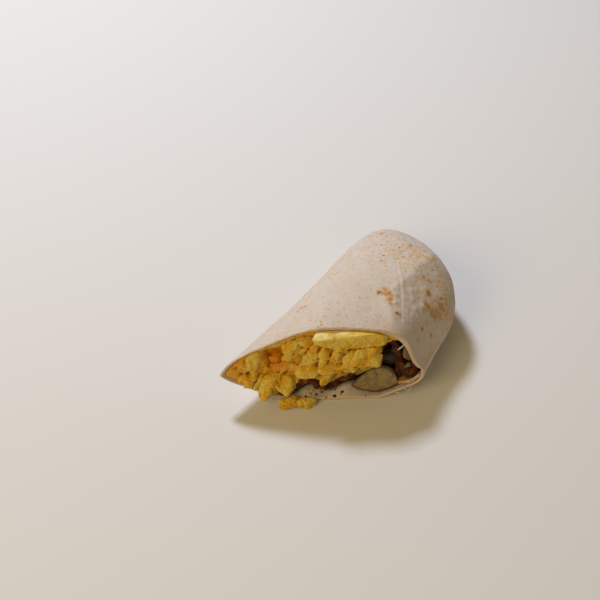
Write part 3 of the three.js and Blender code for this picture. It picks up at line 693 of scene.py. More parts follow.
def field_piece(name, field, axes, material, slot, stands_for=(), **shares):
    """The mesh of a field over a grid of depth behind the cut, y and z. Its share called crevice
    says how much of the piece surrounds each corner, so 1 is a deep fold and 0 a bare bump."""
    for axis in range(3):
        np.moveaxis(field, axis, 0)[[0, -1]] = 1
    places, faces = field_surface(field, axes)
    depth, y, z = places.T
    full = blurred((field < 0).astype(np.float32), CREVICE_CELLS)[cells_of(axes, places)]
    made = {share: values(places) for share, values in shares.items()}
    made["crevice"] = clamp01((full - CREVICE_FROM) * CREVICE_GAIN)
    points = np.stack([cut_x(y, z) + depth, y, z], 1)
    mesh_piece(name, points, [faces], material, slot, stands_for, **made)


def smooth_path(path, count):
    """Points evenly spread on a Catmull-Rom curve through the path's corners."""
    knots = np.array([2 * np.array(path[0]) - path[1], *path, 2 * np.array(path[-1]) - path[-2]])
    spot = np.linspace(0, len(path) - 1.0001, count)
    cell = spot.astype(int)
    t = (spot - cell)[:, None]
    before, start, end, after = (knots[cell + i] for i in range(4))
    bend = 2 * before - 5 * start + 4 * end - after
    twist = 3 * start - before - 3 * end + after
    return 0.5 * (2 * start + (end - before) * t + bend * t**2 + twist * t**3)


RASHER_POINTS, FAT_STREAKS = 90, 4


def rasher_distance(depth, y, z, path, back_depth, drift, half, seed):
    """About the distance from a rasher's skin: the gap in the cut's plane to its line, less half its
    thickness, and not before its ragged front edge or behind its end."""
    x = cut_x(y, z) + depth
    sway = noises(x, y, z, (0.7, 6.5, seed), (0.35, 2.8, seed + 7))
    lift = noises(x, y, z, (0.6, 5.0, seed + 1), (0.35, 2.4, seed + 8))
    at_y, at_z = y - drift * depth + sway, z + lift
    best = np.full(y.shape, 1e9)
    start = np.zeros(y.shape)
    run = np.zeros(y.shape)
    for number, (line_y, line_z, line_depth) in enumerate(smooth_path(path, RASHER_POINTS)):
        gap = np.hypot(at_y - line_y, at_z - line_z)
        nearer = gap < best
        best = np.where(nearer, gap, best)
        start = np.where(nearer, line_depth, start)
        run = np.where(nearer, number / RASHER_POINTS, run)
    thick = half * (0.85 + noises(x, y, z, (0.4, 3.5, seed + 2), (0.2, 1.6, seed + 3)))
    ragged = 1.1 * noise(x, y, z, 2.2, seed + 4)
    return np.maximum(best - thick, np.maximum(start + ragged - depth, depth - back_depth) / SLANT), run


FINE_LENGTH, WIDEST_STEP, STEPS_BEHIND = 14, 1.6, 60


def grid_of(low, high, step):
    """Grid lines from low to high in depth, y and z, with the spacing growing behind the front."""
    near = np.arange(low[0], min(low[0] + FINE_LENGTH, high[0]), step)
    far = near[-1] + np.cumsum(np.linspace(step, WIDEST_STEP, STEPS_BEHIND))
    depths = np.concatenate([near, far[far < high[0]]])
    axes = (depths, np.arange(low[1], high[1], step), np.arange(low[2], high[2], step))
    return axes, np.meshgrid(*axes, indexing="ij")


LEAN = (0.13, 0.028, 0.005, 1)
CHAR_AND_SHADE = (0.022, 0.006, 0.003, 1)
FAT = (0.27, 0.08, 0.011, 1)
bacon_meat, tree = material_of("bacon_meat", Roughness=0.38, Specular_IOR_Level=0.15)
base = tint(tree, LEAN, CHAR_AND_SHADE, mottle(tree, 260, 0.40, 0.62))
base = tint(tree, base, FAT, times(tree, share_of(tree, "fat"), mottle(tree, 500, 0.35, 0.6)))
# Painted shade: the meat darkens to near black behind the cut.
base = tint(tree, base, CHAR_AND_SHADE, share_of(tree, "deep"))
coat(tree, base, per_metre=900, strength=0.5, depth=0.0004)


def rasher_piece(name, rasher, fold, low, high, node, dark):
    """One rasher as a mesh, with a second fold joined on. Its share called fat is 1 along the
    streaks of fat, and the one called deep is painted shade, rising from dark at the cut to
    DEEP_SHADE behind it."""
    axes, (depth, y, z) = grid_of(low, high, BACON_STEP)
    field, run = rasher_distance(depth, y, z, *rasher)
    half, seed = rasher[3:]
    folded = rasher_distance(depth, y, z, fold, FOLD_BACK, 0, half, seed + 9)[0]
    field = np.maximum(soft_union(field, folded, FOLD_BLEND), wall_distance(depth, y, z) + WALL_GAP)

    def fat(places):
        """1 along wavy stripes that follow the rasher."""
        stripes = run[cells_of(axes, places)] * FAT_STREAKS + 0.8 * noise(*places.T, 5, seed + 6)
        return smooth01((np.sin(stripes * 2 * np.pi) - 0.3) / 0.6)

    def deep(places):
        """Painted shade, darker the further behind the cut."""
        return dark + (DEEP_SHADE - dark) * smooth01((places[:, 0] - 2.8) / 5)

    field_piece(name, field, axes, bacon_meat, "bacon", [node], fat=fat, deep=deep)


rasher_piece("low_rasher", LOW_RASHER, BACON_FOLD, (-2, -16, 1), (47, 23, 19), "bacon_lower", 0)
rasher_piece("side_rasher", SIDE_RASHER, SIDE_FOLD, (-3, -42, 7), (37, -15, 40), "bacon_right", 0.5)

# The potato: fried pieces with a pale, waxy inside and browned edges. One slice lies flush with the
# cut, a cube sits deeper in the hollow, and a small bit is caught beside the rasher.
SLICE_AT, SLICE_FRONT, SLICE_LEAN, SLICE_BACK = (-22.0, 3.1), 0.8, 0.3, 9
SLICE_SAG, SLICE_DOME, SLICE_HALF = 4.4, 11.2, 10.4
SLICE_INWARDS, SLICE_ROUND = 0.6, 0.5
# Brown marks on the slice's face: [y, z, size], the last four in a row as a short crease.
SLICE_MARKS = (
    (-21.7, 13.2, 0.5), (-28.4, 11.9, 0.7), (-17.0, 13.6, 0.4), (-19.6, 15.8, 0.3),
    (-20.1, 15.1, 0.3), (-20.6, 14.4, 0.3), (-21.1, 13.8, 0.3),
)
POTATO_STEP = 0.34


def slice_outline(y, z):
    """Distance outside a slice's outline: a shallow arc below and a high dome above."""
    out = np.abs(y - SLICE_AT[0]) / SLICE_HALF
    low = SLICE_AT[1] + SLICE_SAG * out**2
    high = SLICE_AT[1] + SLICE_SAG + SLICE_DOME * (1 - out**2.2)
    return np.maximum(0.85 * (low - z), 0.6 * (z - high))


def slice_distance(depth, y, z):
    """Distance outside a slice with a flat front that leans back and a skin that curves in behind
    it: inside both, with the edge between them rounded."""
    front_depth = SLICE_FRONT + SLICE_LEAN * (z - SLICE_AT[1])
    flat = np.maximum(front_depth - depth, depth - SLICE_BACK) / SLANT
    skin_gap = slice_outline(y, z) + SLICE_INWARDS * np.clip(depth - front_depth, 0, 6)
    outside = np.hypot(np.maximum(skin_gap + SLICE_ROUND, 0), np.maximum(flat + SLICE_ROUND, 0))
    return np.minimum(np.maximum(skin_gap, flat), -SLICE_ROUND) + outside


POTATO_PALE = (0.34, 0.255, 0.10, 1)
POTATO_GREY = (0.22, 0.155, 0.068, 1)
POTATO_BROWN_AND_SHADE = (0.085, 0.028, 0.008, 1)
POTATO_SHADE = (0.085, 0.080, 0.055, 1)
fried_potato, tree = material_of("fried_potato", Roughness=0.45, Specular_IOR_Level=0.4)
base = tint(tree, POTATO_PALE, POTATO_GREY, mottle(tree, 260, 0.38, 0.62))
base = tint(tree, base, POTATO_BROWN_AND_SHADE, mottle(tree, 800, 0.64, 0.72), 0.7)
base = tint(tree, base, POTATO_SHADE, share_of(tree, "deep"))
# Browned crust; on the skin behind the slice's face this is also painted shade.
base = tint(tree, base, POTATO_BROWN_AND_SHADE, share_of(tree, "browned"))
coat(tree, base, per_metre=900, strength=0.4, depth=0.0003)

axes, (depth, y, z) = grid_of((-0.5, -34, 1), (11, -10, 23), POTATO_STEP)
x = cut_x(y, z) + depth
field = slice_distance(depth, y, z) + 0.2 * noise(x, y, z, 4, 165) + 0.12 * fractal(x, y, z, 3.0, 161, 3)
field = np.maximum(field, wall_distance(depth, y, z) + WALL_GAP)


def slice_crust_and_shade(places):
    """1 on the browned skin round the slice's outline, and on the skin behind its face, which is dark
    partly as crust and partly as painted shade; less on the marks of its flat face.
    """
    depth, y, z = places.T
    out = slice_outline(y, z) + 0.3 * noise(depth, y, z, 2.2, 166)
    behind = depth - SLICE_FRONT - SLICE_LEAN * (z - SLICE_AT[1])
    marks = sum(bell(np.hypot(y - at_y, z - at_z), size) for at_y, at_z, size in SLICE_MARKS)
    # The skin more than 1 mm behind the face is dark partly as crust and partly as painted shade.
    edge = np.maximum(smooth01((out + 1.7) / 1.1), smooth01((behind - 1.0) / 0.8))
    return np.maximum(edge, 0.7 * clamp01(1.4 * marks))


slice_looks = (fried_potato, "potato", ["potato_slice"])
field_piece("fried_potato_slice", field, axes, *slice_looks, browned=slice_crust_and_shade)


def room_round(at, reach, spare):
    """The two corners of a box round a place, this far from it on each side and a little more."""
    return [a - r - spare for a, r in zip(at, reach)], [a + r + spare for a, r in zip(at, reach)]


def chunk_piece(name, lump, step, seed, node, browning):
    """A small fried chunk: a blocky lump with a little relief; browning is how dark its browned patches
    are.
    """
    at_y, at_z, at_depth, half_length, half_height, _, half_depth = lump
    box = room_round((at_depth, at_y, at_z), (half_depth * SLANT, half_length, half_height), 2)
    axes, (depth, y, z) = grid_of(*box, step)
    relief = 0.12 * fractal(cut_x(y, z) + depth, y, z, 2.5, seed, 3)

    def browned(places):
        """Browned in patches, as dark as browning."""
        return browning * smooth01(noise(*places.T, 3.0, seed + 4) * 1.5)

    def deep(places):
        """In the shade from 5 mm behind the cut."""
        return smooth01((places[:, 0] - 5) / 4)

    field = lump_distance(depth, y, z, lump, seed) + relief
    field_piece(name, field, axes, fried_potato, "potato", [node], browned=browned, deep=deep)


CUBE = (-22.1, 16.6, 15.5, 6.0, 4.6, 20, 4.2)
BIT, BIT_STEP = (-32.7, 27.2, 4.2, 2.6, 3.6, 12, 2.0), 0.22
chunk_piece("fried_potato_cube", CUBE, POTATO_STEP, 171, "potato_cube", 0.2)
chunk_piece("fried_potato_bit", BIT, BIT_STEP, 181, "potato_bit", 0.7)

# The scrambled egg: soft curds, folded in a pan and packed into the roll round bacon and potato. It
# shows torn lumps at the cut, with hollows between them that are painted with orange and brown
# shade. The distances to all the curds are worked out on a grid behind the cut, and the surface
# where they are zero is the egg.
EGG_FACE_DEPTH, EDGE_FACE_DEPTH, BLEND = 2.8, 0.6, 0.5
# A curd is [y, z, depth of its face behind the cut, half its length along the cut, half its height,
# half its depth, tilt], and one that stands out of the cut has a depth below zero.
CURDS = (
    (37.2, 19.0, 0.2, 2.6, 3.4, 1.6, 0), (33.8, 22.6, 0.2, 3.0, 4.2, 1.8, -20),
    (33.4, 14.8, 0.2, 2.8, 3.4, 1.8, 10), (28.3, 24.5, -2.1, 4.5, 8.6, 4.0, -10),
    (29.8, 14.6, -2.0, 4.8, 3.8, 3.5, 10), (20.6, 12.0, -4.6, 4.8, 7.0, 4.5, 0),
    (25.0, 12.6, -3.6, 2.7, 5.8, 4.0, 0), (18.6, 20.4, 1.0, 7.6, 3.2, 3.0, -8),
    (23.2, 18.2, 0.5, 3.4, 4.0, 3.0, 0), (17.4, 20.0, -0.6, 3.4, 1.5, 2.4, -45),
    (14.6, 12.8, -3.2, 4.8, 5.6, 4.0, 0), (18.0, 16.6, -1.4, 2.8, 2.2, 2.4, 0),
    (22.0, 25.8, 2.2, 3.0, 2.6, 2.6, -15), (13.4, 35.0, -1.6, 6.4, 5.4, 4.0, -25),
    (13.6, 30.6, -1.6, 4.4, 3.8, 4.0, 15), (9.0, 36.2, -0.6, 3.8, 4.8, 4.0, -10),
    (7.6, 24.4, 0.6, 5.0, 5.2, 3.4, 0), (7.2, 19.4, -2.6, 6.2, 3.2, 3.6, 0),
    (5.8, 31.8, 0.6, 3.4, 5.4, 3.0, 0), (0.7, 27.6, -1.0, 3.3, 7.6, 3.2, 0),
    (-4.2, 26.4, -0.3, 3.8, 6.8, 3.2, 4), (-10.3, 25.4, -0.4, 4.0, 5.8, 3.4, 0),
    (-17.0, 29.0, -3.6, 6.4, 6.8, 3.8, 2), (-20.4, 24.2, -2.6, 3.6, 3.8, 3.0, 0),
    (-3.6, 19.2, -2.0, 7.0, 4.0, 3.6, 0), (-2.0, 15.2, -2.0, 4.0, 3.6, 3.0, 0),
    (-11.2, 19.2, -1.6, 4.0, 3.4, 3.4, 0), (-15.6, 21.8, -0.5, 4.4, 3.0, 3.0, 0),
)
# The slab lies across the top of the cut. A face is [along the cut, up, outwards, distance in mm].
SLAB_AT = (-9.0, 40.0, -1.6)
SLAB_FACES = (
    (0.04, 0.94, 0.34, 5.5), (-0.08, -0.08, 0.99, 3.2), (-0.14, -0.88, 0.45, 5.6),
    (0.50, -0.80, 0.34, 7.0), (0.90, 0.32, 0.30, 16.8), (-0.93, 0.10, 0.35, 18.5),
    (-0.60, -0.75, 0.28, 15.5), (0.0, 0.0, -1.0, 7.0),
)
# Hollows in the core, as lumps: the dark cavity at the right, and the orange fold under the rim.
HOLLOWS = (
    (-29.0, 24.0, 15, 14.0, 15.0, 0, 17), (22.4, 27.0, 2.0, 9.0, 7.2, -22, 4.2),
    (-40.0, 24.0, 4, 16.0, 22.0, 0, 16),
)
POTATO_ROOM = (-24.0, 5.0, 3, 16.5, 13.5, 0, 9)
EGG_STEP, EGG_DEPTH_STEP, EGG_WIDEST_STEP, EGG_STEPS_BEHIND = 0.42, 0.45, 4, 42
EGG_FRONT_FROM, EGG_FRONT_TO, FRONT_SPARE, CURD_MARGIN = -8.5, 15, 4, 3.5
SHIFTS, SLAB_SHIFTS, SLAB_ROUGH = ((0.8, 6, 31), (0.45, 2.8, 41)), (0.7, 0.9, 0.5), 0.5
OTHERS_GAP, EGG_WALL_GAP = 0.3, 0.12
# The egg ends above the low rasher, to this depth behind the cut and as far left as this.
RASHER_ROOM_BACK, RASHER_ROOM_LEFT, RASHER_ROOM_GAP = 11, 19, 0.5


def lump_window(axes, lump, margin):
    """The part of the grid that a lump can reach."""
    at_y, at_z, at_depth, half_length, half_height, _, half_depth = lump
    wide = max(half_length, half_height)
    low, high = room_round((at_depth, at_y, at_z), (half_depth * SLANT, wide, wide), margin)
    return tuple(slice(*np.searchsorted(a, ends)) for a, ends in zip(axes, zip(low, high)))


def slab_distance(depth, y, z):
    """Distance from the slab's flat faces: the largest of the distances beyond each of them."""
    at = (y - SLAB_AT[0]) * SLANT, z - SLAB_AT[1], (SLAB_AT[2] - depth) / SLANT
    return np.max([sum(a * f for a, f in zip(at, facing)) - far for *facing, far in SLAB_FACES], axis=0)


def crumbled(x, y, z, size, seed):
    """Relief of broken curd, about -1 to 1: space is parted into random cells about size mm apart,
    each cell's face stands at its own height and tilts its own way, and a crease parts neighbours."""
    turned = (0.8 * x + 0.6 * y, 0.48 * x - 0.64 * y + 0.6 * z, 0.36 * x - 0.48 * y - 0.8 * z)
    place = [v / size - 0.5 for v in turned]
    low = [np.floor(v).astype(np.int64) for v in place]
    first = np.full(np.shape(x), 9.0)
    second = first.copy()
    level = np.zeros(np.shape(x))
    for corner in product((0, 1), repeat=3):
        cell = [f + c for f, c in zip(low, corner[::-1])]
        gap = [p - c - 0.4 * lattice(*cell, seed + n) for n, (p, c) in enumerate(zip(place, cell))]
        away = np.sqrt(gap[0] ** 2 + gap[1] ** 2 + gap[2] ** 2)
        tilt = sum(g * lattice(*cell, seed + 4 + n) for n, g in enumerate(gap))
        second = np.minimum(second, np.maximum(first, away))
        level = np.where(away < first, 0.5 * lattice(*cell, seed + 3) + 1.1 * tilt, level)
        first = np.minimum(first, away)
    return level + 0.45 * bell(second - first, 0.10)


def torn(x, y, z, seed):
    """Relief in mm of a torn curd: broken faces of three sizes, laid over one another."""
    sizes = ((0.5, 7.0, 0), (0.34, 3.1, 17), (0.26, 1.5, 37))
    return sum(height * crumbled(x, y, z, size, seed + more) for height, size, more in sizes)


front = np.arange(EGG_FRONT_FROM, EGG_FRONT_TO, EGG_DEPTH_STEP)
back = EGG_FRONT_TO + np.cumsum(np.linspace(EGG_DEPTH_STEP, EGG_WIDEST_STEP, EGG_STEPS_BEHIND))
sides, heights = np.arange(-40.6, 45, EGG_STEP), np.arange(1.2, 45.5, EGG_STEP)
egg_axes = (np.concatenate([front, back]), sides, heights)


def egg_field():
    """Distance to the core of the filling and to the curds before it, with the places where it is
    measured shifted by noise, so that the curds are uneven. The other pieces' room is cut out."""
    depth, y, z = np.meshgrid(*egg_axes, indexing="ij")
    x = cut_x(y, z) + depth
    wall = wall_distance(depth, y, z)
    face = EDGE_FACE_DEPTH + (EGG_FACE_DEPTH - EDGE_FACE_DEPTH) * smooth01((-wall - 1) / 4)
    field = 0.8 * (face + 1.2 * noise(x, y, z, 7, 29) * smooth01(-wall / 4) - depth)
    for hole in HOLLOWS:
        field = np.maximum(field, -lump_distance(depth, y, z, hole))
    near = slice(len(front) + FRONT_SPARE)
    at = depth[near], y[near], z[near]
    place = x[near], y[near], z[near]
    shift = [noises(*place, *[(h, size, seed + i) for h, size, seed in SHIFTS]) for i in range(3)]
    shifted_x, shifted_y, shifted_z = (p + s for p, s in zip(place, shift))
    shifted = shifted_x - cut_x(shifted_y, shifted_z), shifted_y, shifted_z
    curds = field[near]
    for number, (at_y, at_z, face, half_length, half_height, half_depth, tilt) in enumerate(CURDS):
        lump = (at_y, at_z, face + half_depth * SLANT, half_length, half_height, tilt, half_depth)
        window = lump_window((egg_axes[0][near], *egg_axes[1:]), lump, CURD_MARGIN)
        away = lump_distance(*[s[window] for s in shifted], lump, 7 + number)
        curds[window] = soft_union(curds[window], away, BLEND)
    rough = torn(*place, 51)
    slab = slab_distance(*[a + share * s for a, share, s in zip(at, SLAB_SHIFTS, shift)])
    field[near] = np.minimum(curds + rough, slab + SLAB_ROUGH * rough)
    field = np.maximum(field, -lump_distance(depth, y, z, POTATO_ROOM))
    line_y, line_z, _ = smooth_path(BACON_LOW, 60)[::-1].T
    below = np.maximum(z - np.interp(y, line_y, line_z) - RASHER_ROOM_GAP, depth - RASHER_ROOM_BACK)
    field = np.where(y < RASHER_ROOM_LEFT, np.maximum(field, -below), field)
    others = [rasher_distance(*at, *rasher)[0] for rasher in (LOW_RASHER, SIDE_RASHER)]
    for other in (*others, slice_distance(*at)):
        field[near] = np.maximum(field[near], OTHERS_GAP - other)
    return np.maximum(field, wall + EGG_WALL_GAP)


YOLK = (0.78, 0.44, 0.006, 1)
PALE = (0.80, 0.61, 0.10, 1)
WHITE_AND_HIGHLIGHT = (1.0, 0.90, 0.42, 1)
CREVICE_SHADE = (0.52, 0.175, 0.002, 1)
AMBER_SHADE = (0.70, 0.26, 0.002, 1)
DEEP_CREVICE_SHADE = (0.17, 0.05, 0.004, 1)
CAVITY_SHADE = (0.022, 0.007, 0.003, 1)
egg_curd, tree = material_of(
    "egg_curd",
    Roughness=0.42,
    Specular_IOR_Level=0.3,
    Subsurface_Weight=0.35,
    Subsurface_Scale=0.0012,
    Subsurface_Radius=(1.0, 0.5, 0.08),
)
base = tint(tree, YOLK, PALE, mottle(tree, 150, 0.40, 0.60))
base = tint(tree, base, PALE, mottle(tree, 620, 0.52, 0.70), 0.4)
# Egg white along the slab's upper left edge, with a painted highlight.
base = tint(tree, base, WHITE_AND_HIGHLIGHT, share_of(tree, "white_and_highlight"))
crevice = share_of(tree, "crevice")
# Painted shade: orange in the egg's crevices and brown in the deepest of them.
base = tint(tree, base, CREVICE_SHADE, crevice, 0.8)
base = tint(tree, base, DEEP_CREVICE_SHADE, ramp(tree, crevice, 0.5, 1.0), 0.45)
# Painted orange shade in the fold at the left and where the wrap shades the egg.
base = tint(tree, base, AMBER_SHADE, share_of(tree, "painted_orange_shade"))
# Painted shade, near black, deep in the cavity at the right.
base = tint(tree, base, CAVITY_SHADE, share_of(tree, "painted_cavity_shade"))
coat(tree, base, per_metre=1100, strength=0.6, depth=0.0005)


def painted_orange_shade(places):
    """Painted orange shade: 1 in the deep fold at the left and next to the wrap, where the wrap shades
    the egg, less at the tip.
    """
    depth, y, z = places.T
    fold = bell(np.hypot((y - 21.2) * SLANT, z - 25.8), 9) * smooth01((depth + 1.8) / 4)
    tip = 0.4 * smooth01((y - 31) / 5)
    edge = smooth01((wall_distance(depth, y, z) + 1.4) / 1.2) * smooth01((depth + 0.5) / 1.5)
    return clamp01(fold + 0.8 * edge + tip)


def white_and_highlight(places):
    """1 along the slab's upper left edge, where the egg is mostly white and a highlight is painted on.
    """
    depth, y, z = places.T
    across, up = (y - SLAB_AT[0]) * SLANT, z - SLAB_AT[1]
    band = smooth01((up - 3.2) / 1.2) * smooth01((across + 10) / 18) * smooth01((18.5 - across) / 1.5)
    return 0.8 * band * smooth01((1 - depth) / 2) * smooth01((0.8 + noise(*places.T, 2.5, 61)) / 0.6)


def painted_cavity_shade(places):
    """Painted shade, near black: 1 deep in the cavity at the right, and in a round patch lower down."""
    depth, y, z = places.T
    hollow = smooth01((depth - 1.5) / 4) * smooth01((-17 - y) / 5)
    corner = bell(np.hypot(1.1 * (y + 12.8), z - 9.5), 6.5) * smooth01((depth - 0.6) / 1.5)
    return np.maximum(hollow, clamp01(1.6 * corner))


egg_shares = {"painted_orange_shade": painted_orange_shade, "white_and_highlight": white_and_highlight, "painted_cavity_shade": painted_cavity_shade}
field_piece("egg_curds", egg_field(), egg_axes, egg_curd, "egg", ["scrambled_egg"], **egg_shares)

# The dropped egg: two bits of curd that fell out of the cut when it was made, and lie just outside
# the lower lip. Each is a torn lump, flat where it lies.
DROPPED = (
    ("egg_bit_left", (-57.0, 10.4, 2.9), (4.8, 3.0, 2.9), 901, "egg_piece_left"),
    ("egg_bit_right", (-51.7, 3.0, 2.6), (4.0, 2.7, 2.6), 77, "egg_piece_right"),
)
DROPPED_STEP, DROPPED_ROUGH, LOWEST = 0.25, 0.95, 0.3
for name, (at_x, at_y, at_z), (half_length, half_depth, half_height), seed, node in DROPPED:
    at_depth = at_x - cut_x(at_y, at_z)
    lump = (at_y, at_z, at_depth, half_length, half_height, 0, half_depth)
    low, high = room_round((at_depth, at_y, at_z), (half_depth * SLANT, half_length, half_height), 2)
    axes, (depth, y, z) = grid_of((*low[:2], 0.1), high, DROPPED_STEP)
    relief = DROPPED_ROUGH * torn(cut_x(y, z) + depth, y, z, seed)
    field = np.maximum(lump_distance(depth, y, z, lump, seed) + relief, LOWEST - z)
    field_piece(name, field, axes, egg_curd, "egg", [node])

# The loose inner turn of the tortilla that shows at the lower right of the cut, a thin sheet that
# rises to the wall, and pale threads torn off by the knife: one over the side rasher and a frayed
# one at the lip.
FLAP = ((-30.6, 8.4, 4.0), (-33.0, 9.0, 1.2), (-35.4, 9.9, 0.2), (-37.8, 11.2, 0.0), (-39.6, 13.4, 0.4))
FLAP_HALF, FLAP_BACK, FLAP_TOASTED, FLAP_STEP, FLAP_GAP = 1.05, 8, 0.95, 0.3, 0.05
# Threads: [half its thickness, points of its path].
THREADS = (
    (0.42, ((-29.6, 31.0, 0.4), (-30.4, 32.4, -0.4), (-31.6, 34.0, -0.6), (-32.2, 35.4, 0.4))),
    (0.36, ((-34.8, 8.0, -0.4), (-36.0, 6.6, -1.0), (-37.2, 5.2, -1.2),
            (-38.2, 5.6, -1.2), (-38.0, 7.4, -0.8))),
    (0.30, ((-32.0, 4.8, -0.6), (-33.0, 4.0, -1.2), (-34.4, 4.4, -1.4))),
)
THREAD_STEPS, THREAD_SIDES = 24, 8

axes, (depth, y, z) = grid_of((-1, -42, 6), (9, -27, 17), FLAP_STEP)
field = rasher_distance(depth, y, z, FLAP, FLAP_BACK, 0, FLAP_HALF, 191)[0]
field = np.maximum(field, wall_distance(depth, y, z) + FLAP_GAP)


def flap_toasted(places):
    """The loose turn is toasted evenly, a little paler towards its right end."""
    return FLAP_TOASTED * (1 - 0.4 * smooth01((-34 - places[:, 1]) / 5))


field_piece("loose_turn", field, axes, tortilla_skin, "tortilla", toast=flap_toasted)


def thread_piece(name, path, radius):
    """A thread: a round profile, thinner towards both ends, carried along a smooth path."""
    y, z, depth = smooth_path(path, THREAD_STEPS).T
    line = np.stack([cut_x(y, z) + depth, y, z], 1)
    forward = np.gradient(line, axis=0)
    forward /= np.linalg.norm(forward, axis=1, keepdims=True)
    side = np.cross(forward, CUT_OUTWARDS)
    side /= np.linalg.norm(side, axis=1, keepdims=True)
    over = np.cross(forward, side)
    share = np.linspace(0, 1, THREAD_STEPS)
    wide = radius * (0.25 + 0.75 * np.sin(np.pi * share) ** 0.5) * (1 + 0.25 * noise(*line.T, 0.9, 195))
    turn = np.linspace(0, 2 * np.pi, THREAD_SIDES, endpoint=False)[None, :, None]
    ring = np.cos(turn) * side[:, None] + np.sin(turn) * over[:, None]
    points = (line[:, None] + wide[:, None, None] * ring).reshape(-1, 3)
    index, quads = rings(THREAD_STEPS, THREAD_SIDES)
    mesh_piece(name, points, [quads, index[:1, ::-1], index[-1:]], tortilla_skin, "tortilla")


for number, (radius, path) in enumerate(THREADS):
    thread_piece(f"thread_{number + 1}", path, radius)

# Crumbs that the knife left: bits of bacon, browned bits and egg on the wrap's inside at the lip,
# and specks of egg that fell on the wrap's top. Each is a small, squashed and dented ball.
CRUMB_ROUND, CRUMB_ROWS, CRUMB_SHAPE, CRUMB_DENTS, CRUMB_END = 9, 6, (1.2, 1.0, 0.75), 0.45, 1.35
FALLEN_AT = (
    (13.7, 16.8), (7.6, 23.3), (7.0, 24.7), (-37.5, 4.4), (-39.9, 4.7), (-38.3, 1.6),
    (-35.7, 5.9),
)
PALE_AT = ((0.2, -35.3, 21.5), (0.4, -34.2, 20.2))


def crumbs_piece(name, places, sizes, seed, material, slot):
    """Many crumbs in one mesh: each is a ball of rings, squashed and dented by noise."""
    rounds = np.linspace(0, 2 * np.pi, CRUMB_ROUND, endpoint=False)
    turn, lift = np.meshgrid(rounds, np.linspace(-CRUMB_END, CRUMB_END, CRUMB_ROWS))
    flat = np.cos(lift)
    ball = np.stack([np.cos(turn) * flat, np.sin(turn) * flat, np.sin(lift)], -1).reshape(-1, 3)
    off = ball * sizes[:, None, None] * CRUMB_SHAPE
    dent = 1 + CRUMB_DENTS * noise(*np.moveaxis(places[:, None] + off, -1, 0), 0.7, seed)
    points = places[:, None] + off * dent[..., None]
    index, quads = rings(CRUMB_ROWS, CRUMB_ROUND)
    first = np.arange(len(places))[:, None, None] * len(ball)
    caps = np.stack([index[0, ::-1], index[-1]])
    faces = [(quads[None] + first).reshape(-1, 4), (caps[None] + first).reshape(-1, CRUMB_ROUND)]
    mesh_piece(name, points.reshape(-1, 3), faces, material, slot)


chance = np.random.default_rng(5)
lip_rows = slice(OUTER_ROWS + RIM_ROWS, OUTER_ROWS + RIM_ROWS + 7)
lip = wrap[lip_rows, np.sin(angles) < -0.3].reshape(-1, 3)
near_middle = lip[np.abs(lip[:, 1] + 1.0) < 8]
right_side = lip[np.abs(lip[:, 1] + 20) < 14]
# Crumbs on the lip: [name, where, how many, smallest size, largest size, seed, material, slot].
ON_LIP = (
    ("bacon_crumbs", near_middle, 13, 0.3, 0.9, 7, bacon_meat, "bacon"),
    ("egg_crumbs", near_middle, 4, 0.4, 0.8, 8, egg_curd, "egg"),
    ("side_crumbs", right_side, 8, 0.25, 0.5, 9, bacon_meat, "bacon"),
)
for name, where, count, smallest, largest, *rest in ON_LIP:
    places = chance.choice(where, count)
    crumbs_piece(name, places, chance.uniform(smallest, largest, count), *rest)
on_top = wrap[:OUTER_ROWS].reshape(-1, 3)
on_top = on_top[on_top[:, 2] > TOP_FROM]
fallen = [on_top[np.linalg.norm(on_top[:, :2] - at, axis=1).argmin()] for at in FALLEN_AT]
sizes = chance.uniform(0.3, 0.6, len(FALLEN_AT))
crumbs_piece("fallen_crumbs", np.array(fallen), sizes, 11, egg_curd, "egg")
pale = np.array([[cut_x(y, z) + depth, y, z] for depth, y, z in PALE_AT])
crumbs_piece("pale_bits", pale, np.array([1.3, 0.9]), 10, fried_potato, "potato")

# The stage: a pale floor below the food, a soft key light from behind on the left, a broad warm fill
# from the front, and the camera, which looks down at the cut with a long lens.
AIM_TURN, ELEVATION, ROLL = math.radians(57), math.radians(42), math.radians(1.1)
EYE, LENS, SENSOR = np.array([-482.7, -271.6, 535.3]), 84.24, 36
FLOOR_HALF, FLOOR_PALE = 3, (0.78, 0.78, 0.77, 1)
ROOM_LIGHT, ROOM_STRENGTH = (1.0, 0.78, 0.43, 1), 0.205


def turned(x, y, z):
    """A direction given to the right of, away from and above the viewer, in the part's axes."""
    cosine, sine = math.cos(AIM_TURN), math.sin(AIM_TURN)
    return np.array([x * cosine + y * sine, y * cosine - x * sine, z])


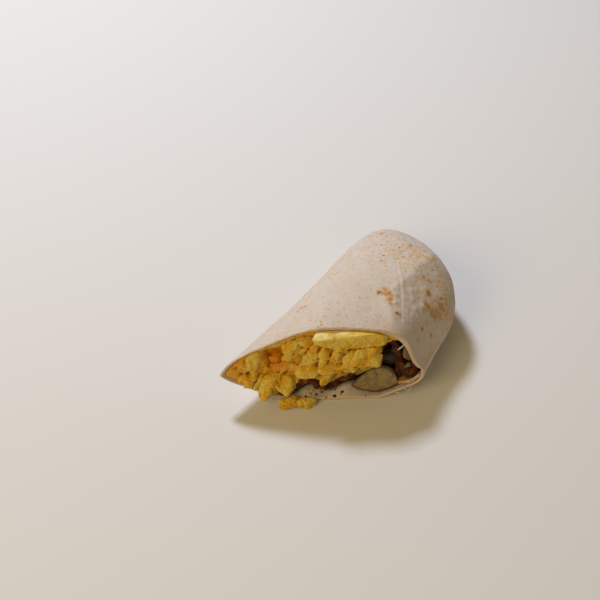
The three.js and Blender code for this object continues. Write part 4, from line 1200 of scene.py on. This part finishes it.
def stand(name, data, axes, at):
    """A lamp or camera whose own axes point these three ways, at a place in metres."""
    made = bpy.data.objects.new(name, data)
    rows = [[*axis, place] for *axis, place in zip(*axes, at)]
    made.matrix_world = Matrix(rows + [[0, 0, 0, 1]])
    bpy.context.scene.collection.objects.link(made)
    return made


def lamp(name, towards, distance, size, power, colour):
    """A square area light in the given direction from the food, turned towards it."""
    data = bpy.data.lights.new(name, "AREA")
    data.size, data.energy, data.color = size, power, colour
    away = towards / np.linalg.norm(towards)
    side = np.cross([0, 0, 1], away)
    side = side / np.linalg.norm(side)
    stand(name, data, (side, np.cross(away, side), away), away * distance)


up = turned(0, math.sin(ELEVATION), math.cos(ELEVATION))
backwards = turned(0, -math.cos(ELEVATION), math.sin(ELEVATION))
view_right = math.cos(ROLL) * turned(1, 0, 0) + math.sin(ROLL) * up
view_up = math.cos(ROLL) * up - math.sin(ROLL) * turned(1, 0, 0)
camera_data = bpy.data.cameras.new("camera")
camera_data.lens, camera_data.sensor_width = LENS, SENSOR
bpy.context.scene.camera = stand("camera", camera_data, (view_right, view_up, backwards), EYE * MM)

corners = [(x * FLOOR_HALF, y * FLOOR_HALF, 0) for x, y in ((-1, -1), (1, -1), (1, 1), (-1, 1))]
floor_mesh = bpy.data.meshes.new("floor")
floor_mesh.from_pydata(corners, [], [(0, 1, 2, 3)])
floor_mesh.materials.append(material_of("floor_paper", Roughness=0.9, Base_Color=FLOOR_PALE)[0])
floor = bpy.data.objects.new("floor", floor_mesh)
bpy.context.scene.collection.objects.link(floor)

KEY_FROM, FILL_FROM = turned(-0.324, 0.539, 0.777), turned(-0.55, -0.6, 0.55)
lamp("key", KEY_FROM, distance=1.3, size=0.22, power=11.9, colour=(0.80, 0.85, 1.0))
lamp("fill", FILL_FROM, distance=1.6, size=0.9, power=9.2, colour=(1.0, 0.78, 0.44))
world = bpy.data.worlds.new("studio")
world.use_nodes = True
for socket, value in enumerate((ROOM_LIGHT, ROOM_STRENGTH)):
    world.node_tree.nodes["Background"].inputs[socket].default_value = value
bpy.context.scene.world = world
bpy.context.scene.view_settings.view_transform = "Standard"
